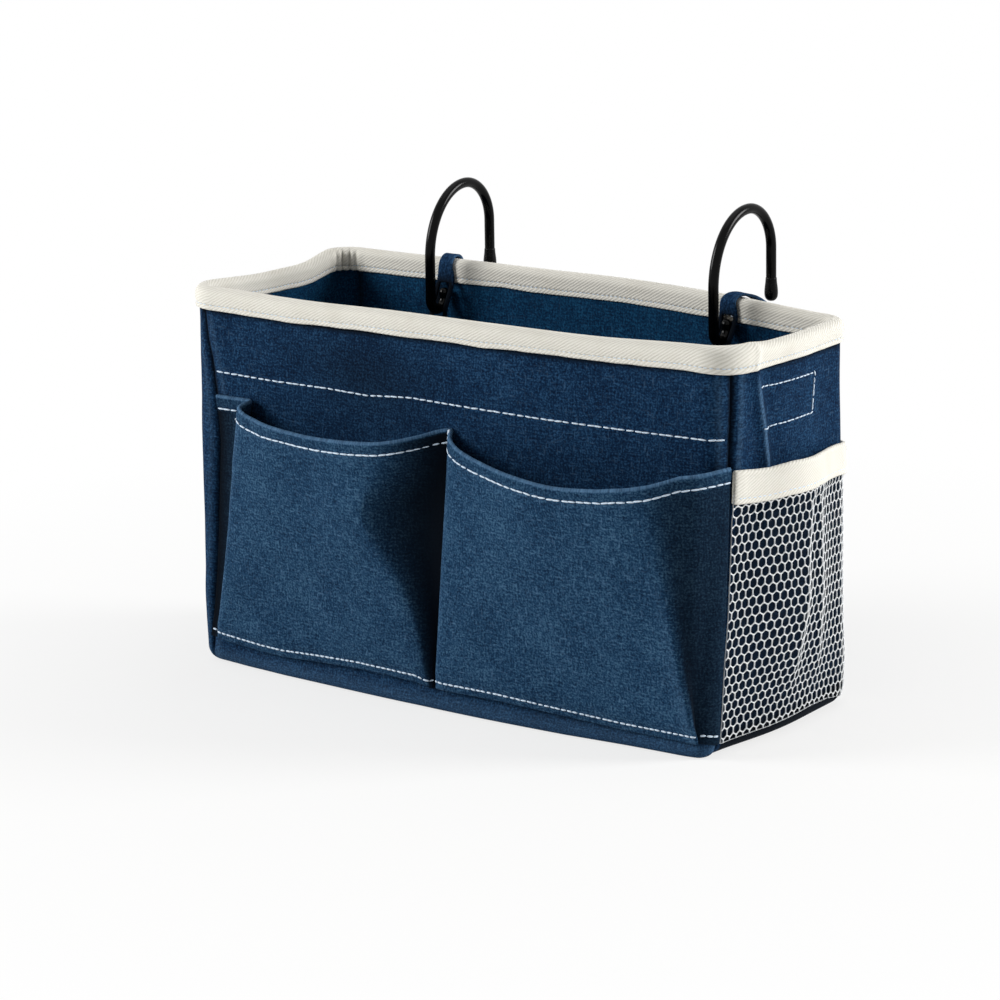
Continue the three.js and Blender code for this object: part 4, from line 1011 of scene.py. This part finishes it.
# Hook straps: tape from the back wall over the rim to an eye round the heel, placed by (X, height of the
# heel, lean of the back end). The path is (inset from the back wall, height); the grid leaves out the eye,
# and Solidify gives the thickness.
straps = dict(
    left=(-80.5, 163.3, 0.0), right=(86.5, 166.7, 16.0), width=7.5, eyeWidth=10.8, eyeHalf=2.75, eyeRise=6.4,
    thick=1.2, pivotInset=13.6, heelDrop=8.0, eyeBar=3.4, backInset=-0.9, backEnd=150.0, crestRadius=4.85,
    crestBase=176.5, rows=80,
)


def strapPath(pivotHeight, spec):
    eye = pivotHeight - spec["heelDrop"]
    middle, radius, base = bag["wall"] / 2, spec["crestRadius"], spec["crestBase"]
    angle = np.linspace(np.pi, 0, 7)
    inside, pivot = middle + radius, spec["pivotInset"]
    points = [(spec["backInset"], spec["backEnd"]), (spec["backInset"], 165), (middle - radius, 170.5)]
    points += [(middle + radius * np.cos(a), base + radius * np.sin(a)) for a in angle]
    points += [(inside, 171), (mix(inside, pivot, 0.35), mix(170, eye, 0.3)),
               (mix(inside, pivot, 0.85), mix(170, eye, 0.7)), (pivot, eye),
               (pivot + 0.2, eye - spec["eyeBar"])]
    return smoothCurve(points, spec["rows"]), eye


def addStrap(side, spec):
    x, pivotHeight, lean = spec[side]
    path, eye = strapPath(pivotHeight, spec)
    way = np.linspace(0, 1, spec["rows"])[:, None]
    half = mix(spec["width"], spec["eyeWidth"], ease(way, 0.55, 0.75)) / 2
    slot = spec["eyeHalf"] + 0 * way
    rightHalf = [half, (half + slot) / 2, slot, slot / 2]
    across = np.concatenate([*rightHalf, 0 * slot, *(-v for v in rightHalf[::-1])], 1)
    inset, z = path[:, :1] + 0 * across, path[:, 1:] + 0 * across
    curl = 0.35 * (np.abs(across) / half) ** 4  # edges turn a little
    right, left = (wallPoint(seams[key], z, inset - curl) for key in ("backRight", "backLeft"))
    middle = x + lean * (1 - ease(way, 0.36, 0.62))
    u = (middle + across - right[..., 0]) / (left[..., 0] - right[..., 0])
    mid = wallPoint(seams["backRight"] + np.clip(u, 0.001, 0.999), z, inset - curl)
    rows, cols = across.shape
    index = np.arange(rows * cols).reshape(rows, cols)
    quads = np.stack([index[:-1, :-1], index[1:, :-1], index[1:, 1:], index[:-1, 1:]], -1)
    high = path[:-1, 1]
    inEye = (way[:-1, 0] > 0.5) & (high < pivotHeight + spec["eyeRise"]) & (high > eye + 0.4)
    inSlot = (np.arange(cols - 1) >= 2) & (np.arange(cols - 1) < 6)
    faces = quads[~(inEye[:, None] & inSlot[None, :])].reshape(-1, 4)
    length = wayAlong(path)[:, None]
    uv = np.stack([across, length + 0 * across], -1).reshape(-1, 2)
    points = mid.reshape(-1, 3)
    # Paler at the edges; painted shade on the part inside the bag, below the rim.
    wearAndPaintedLight = (0.4 * (np.abs(across) / half) ** 6 - 1.2 * ease(way, 0.6, 0.76)).ravel()  # dark inside the bag
    piece = addPiece(side + "_hook_strap", points, [faces], navyStrap, "bag",
                     [side + "_hook_loop"], uv, wearAndPaintedLight=wearAndPaintedLight)
    solid = piece.modifiers.new("thickness", "SOLIDIFY")
    solid.thickness, solid.offset = spec["thick"] * mm, 0.0
    soft = piece.modifiers.new("soft", "SUBSURF")
    soft.levels = soft.render_levels = 1


for side in ("left", "right"):
    addStrap(side, straps)
print("straps hung")

# Stitches


# One small shape repeated along a path. Along its length the half width is the root of one minus the way
# to the fourth power, and its ends dive into the cloth.
def stitchShapes(path, normal, pitch, length, width, high, seed):
    way = wayAlong(path)
    count = max(int(way[-1] / pitch), 1)
    rng = np.random.default_rng(seed)
    middle = (np.arange(count) + 0.5) * way[-1] / count + rng.uniform(-0.12, 0.12, count) * pitch
    at = lambda field, s: np.stack([np.interp(s, way, field[:, k]) for k in range(3)], -1)
    span = length * rng.uniform(0.88, 1.08, count)
    spot = at(path, middle)
    along = unit(at(path, middle + span / 2) - at(path, middle - span / 2))
    up = unit(at(normal, middle))
    across = unit(np.cross(up, along))
    along = unit(along + across * rng.uniform(-0.08, 0.08, count)[:, None])
    t = np.array([-1.0, -0.86, -0.4, 0.4, 0.86, 1.0])[:, None]
    turn = np.arange(6) * np.pi / 3
    wide = np.maximum(1 - t**4, 0.0) ** 0.5 * 0.9 + 0.1
    raised = wide * np.sin(turn) * 0.8 - 0.5 * t**6 + 0.4
    local = np.stack(np.broadcast_arrays(t, wide * np.cos(turn), raised), -1).reshape(1, -1, 3)
    shape = (spot[:, None] + along[:, None] * (local[..., :1] * span[:, None, None] / 2)
             + across[:, None] * local[..., 1:2] * width / 2 + up[:, None] * local[..., 2:] * high)
    return shape.reshape(-1, 3), count


def addStitches(name, rows):
    points, quads, caps, at = [], [], [], 0
    index = np.arange(36).reshape(6, 6)  # six rings of six points
    one, ends = ringQuads(index), np.stack([index[0, ::-1], index[-1]])
    for row in rows:
        spots, count = stitchShapes(**row)
        shift = at + index.size * np.arange(count)[:, None, None]
        points.append(spots)
        quads.append((one[None] + shift).reshape(-1, 4))
        caps.append((ends[None] + shift).reshape(-1, 6))
        at += index.size * count
    faceSets = [np.concatenate(quads), np.concatenate(caps)]
    addPiece(name, np.concatenate(points), faceSets, whiteThread, "bag")


# Path on a surface and its outward direction, from the surface at two lifts.
def onSurface(surface, *where, lift=0.5):
    low, high = surface(*where, lift), surface(*where, lift + 1.0)
    return dict(path=low, normal=unit(high - low))


def wallLine(runs, heights, count=400):  # straight runs between given places of a wall
    corner = np.arange(len(runs))
    t = np.linspace(0, len(runs) - 1, count)
    return onSurface(wallSurface, np.interp(t, corner, runs), np.interp(t, corner, heights), lift=0.05)


thread = dict(pitch=4.1, length=3.85, width=0.84, high=0.42)
closely = dict(thread, length=4.2)
fine = dict(pitch=3.1, length=2.8, width=0.95, high=0.42)
tack = dict(fine, pitch=2.2, length=2.6, width=1.5, high=0.7)
tight = dict(fine, pitch=2.3, length=2.0, width=0.6)

topEnds = leftSeam(topLine["level"]) + topLine["start"], rightSeam(topLine["level"]) - topLine["end"]
topRuns = np.linspace(*topEnds, 60)
addStitches("front_topstitch", [dict(wallLine(topRuns, topStitch(topRuns)), **thread, seed=71)])

pocketRows = dict(
    hemBelow=5.4, hemLift=0.95, bottomShare=0.028, bottomLift=0.62, tack=(-7.5, 2.6), tackLift=2.2,
)


def bayLine(bay, share, columns, lift, count=500):  # across a bay at a share of its height
    at = lambda column, high: baySurface(bay, column, share, high)[0]
    return onSurface(at, np.linspace(*columns, count), lift=lift)


def hemLine(bay, spec):
    return bayLine(bay, 1 - spec["hemBelow"] / pockets["drop"], (0.0, 1.0), spec["hemLift"])


def bottomLine(bay, spec):
    return bayLine(bay, spec["bottomShare"], (0.004, 0.998), spec["bottomLift"])


def tackLine(spec, count=60):  # up the centre seam, over the hem
    low, high = spec["tack"]
    height = np.linspace(pockets["top"] + low, pockets["top"] + high, count)
    return onSurface(wallSurface, centreSeam(height) + 0.2, height, lift=spec["tackLift"])


addStitches("pocket_stitches", [
    dict(hemLine(leftBay, pocketRows), **closely, seed=72),
    dict(hemLine(rightBay, pocketRows), **closely, seed=73),
    dict(bottomLine(leftBay, pocketRows), **fine, seed=74),
    dict(bottomLine(rightBay, pocketRows), **fine, seed=75),
    dict(tackLine(pocketRows), **tack, seed=76),
])

boxStitch = dict(runs=[300.2, 352.4, 350.0, 305.8], heights=[160.7, 160.3, 142.5, 142.2])
addStitches("side_box_stitch", [dict(wallLine(**boxStitch), **dict(fine, width=0.65), seed=77)])

# Box with a cross that sews each strap to the back wall, on the strap's outer face.
strapBox = dict(
    half=2.3, low=152.6, high=161.6, face=1.5, seeds=dict(left=81, right=82),
    across=[-1, 1, 1, -1, -1, 1, -1, 1], up=[0, 0, 1, 1, 0, 1, 1, 0],
)


def strapFace(x, z, lift):
    inset = -strapBox["face"] - lift
    right, left = (wallPoint(seams[key], z, inset)[..., 0] for key in ("backRight", "backLeft"))
    return wallPoint(seams["backRight"] + (x - right) / (left - right), z, inset)


def strapLine(side, spec, count=200):
    corner = np.arange(len(spec["up"]))
    t = np.linspace(0, corner[-1], count)
    x = straps[side][0] + straps[side][2] + spec["half"] * np.interp(t, corner, spec["across"])
    z = mix(spec["low"], spec["high"], np.interp(t, corner, spec["up"]))
    return onSurface(strapFace, x, z, lift=0.03)


sewnStraps = [dict(strapLine(side, strapBox), **tight, seed=seed) for side, seed in strapBox["seeds"].items()]
addStitches("strap_stitches", sewnStraps)


def rimLine(way):  # round the rim at one place of its profile
    at = lambda run, lift: rimSurface(run, np.full_like(run, way), lift)
    return onSurface(at, np.linspace(0.5, roundTotal - 0.5, 2400), lift=0.40)


def netTapeLine(way):  # along the net tape at one place of its profile
    at = lambda share, lift: netTapeSurface(share, np.full_like(share, way), lift)
    return onSurface(at, np.linspace(0.01, 0.99, 400), lift=0.35)


addStitches("rim_stitches", [
    dict(rimLine(rimTape["stitchWay"]), **rimThread, seed=78),
    dict(rimLine(1 - rimTape["stitchWay"]), **rimThread, seed=79),
])
addStitches("net_tape_stitches", [dict(netTapeLine(net["stitchWay"]), **netThread, seed=80)])
print("stitched")

# Boards stay as the CAD has them, inside the cloth.
for piece in bpy.data.objects:
    if piece.type == "MESH" and piece.name.endswith("_board"):
        piece.data.materials.clear()
        piece.data.materials.append(greyBoard)

# Studio: pale floor that fades to white away from the bag, white surroundings, soft lamps as (name, place
# in metres, size, power).
studio = dict(
    ambient=0.2, floor="#f4f4f2", rough=0.9, radius=9.0, below=0.0002, sides=96, near=0.72, fade=(0.16, 0.5),
    target=(0, 0, 0.1),
    lamps=[("key", (-2.1, -1.7, 1.3), 1.4, 69.0), ("fill", (2.05, 1.43, 1.1), 1.2, 64.0),
           ("top", (0.1, 0.2, 2.6), 2.0, 8.0)],
)


# Whether a ray comes from the camera, straight or by way of gloss or glass.
def seenRay(tree):
    path = node(tree, "ShaderNodeLightPath").node.outputs
    seen = {0: path["Is Camera Ray"], 1: path["Is Glossy Ray"]}
    either = node(tree, "ShaderNodeMath", seen, operation="MAXIMUM")
    seen = {0: either, 1: path["Is Transmission Ray"]}
    return node(tree, "ShaderNodeMath", seen, operation="MAXIMUM")


def addFloorDisc(spec):
    mesh = bpy.data.meshes.new("floor")
    angle = np.linspace(0, 2 * np.pi, spec["sides"], endpoint=False)
    disc = [spec["radius"] * np.cos(angle), spec["radius"] * np.sin(angle), 0 * angle - spec["below"]]
    mesh.from_pydata(np.stack(disc, -1).tolist(), [], [list(range(spec["sides"]))])
    floor = bpy.data.objects.new("floor", mesh)
    bpy.context.collection.objects.link(floor)
    # Matt painted floor; seen directly it turns to plain white beyond the bag's own shadow.
    material, tree, shader = newMaterial("matt_white_paint")
    shader.inputs["Base Color"].default_value = linear(spec["floor"])
    shader.inputs["Roughness"].default_value = spec["rough"]
    place = node(tree, "ShaderNodeTexCoord", out="Object")
    far = node(tree, "ShaderNodeVectorMath", {0: place}, operation="LENGTH", out="Value")
    spread = {0: far, 1: spec["fade"][0], 2: spec["fade"][1], 3: spec["near"], 4: 1.0}
    share = {0: node(tree, "ShaderNodeMapRange", spread), 1: seenRay(tree)}
    share = node(tree, "ShaderNodeMath", share, operation="MULTIPLY")
    white = node(tree, "ShaderNodeEmission", dict(Color=(1, 1, 1, 1), Strength=1.0))
    both = node(tree, "ShaderNodeMixShader", {0: share, 1: shader.outputs[0], 2: white})
    tree.links.new(both, tree.nodes["Material Output"].inputs["Surface"])
    mesh.materials.append(material)


def addSurroundings(spec):
    world = bpy.data.worlds.new("studio")
    bpy.context.scene.world = world
    world.use_nodes = True
    tree = world.node_tree
    light = tree.nodes["Background"]
    light.inputs["Color"].default_value = (1, 1, 1, 1)
    light.inputs["Strength"].default_value = spec["ambient"]
    plain = node(tree, "ShaderNodeBackground", dict(Color=(1, 1, 1, 1), Strength=1.0))
    shades = {0: seenRay(tree), 1: light.outputs[0], 2: plain}
    both = node(tree, "ShaderNodeMixShader", shades)
    tree.links.new(both, tree.nodes["World Output"].inputs["Surface"])


def addLamps(spec):
    for name, place, size, power in spec["lamps"]:
        lamp = bpy.data.lights.new(name, "AREA")
        lamp.shape, lamp.size, lamp.energy = "DISK", size, power
        back = unit(np.array(place) - np.array(spec["target"]))
        right = unit(np.cross([0, 0, 1], back))
        stand(bpy.data.objects.new(name, lamp), right, np.cross(back, right), back, place)


addFloorDisc(studio)
addSurroundings(studio)
addLamps(studio)
print("studio lit")

bpy.context.view_layer.update()
print("pieces ride on their bodies")
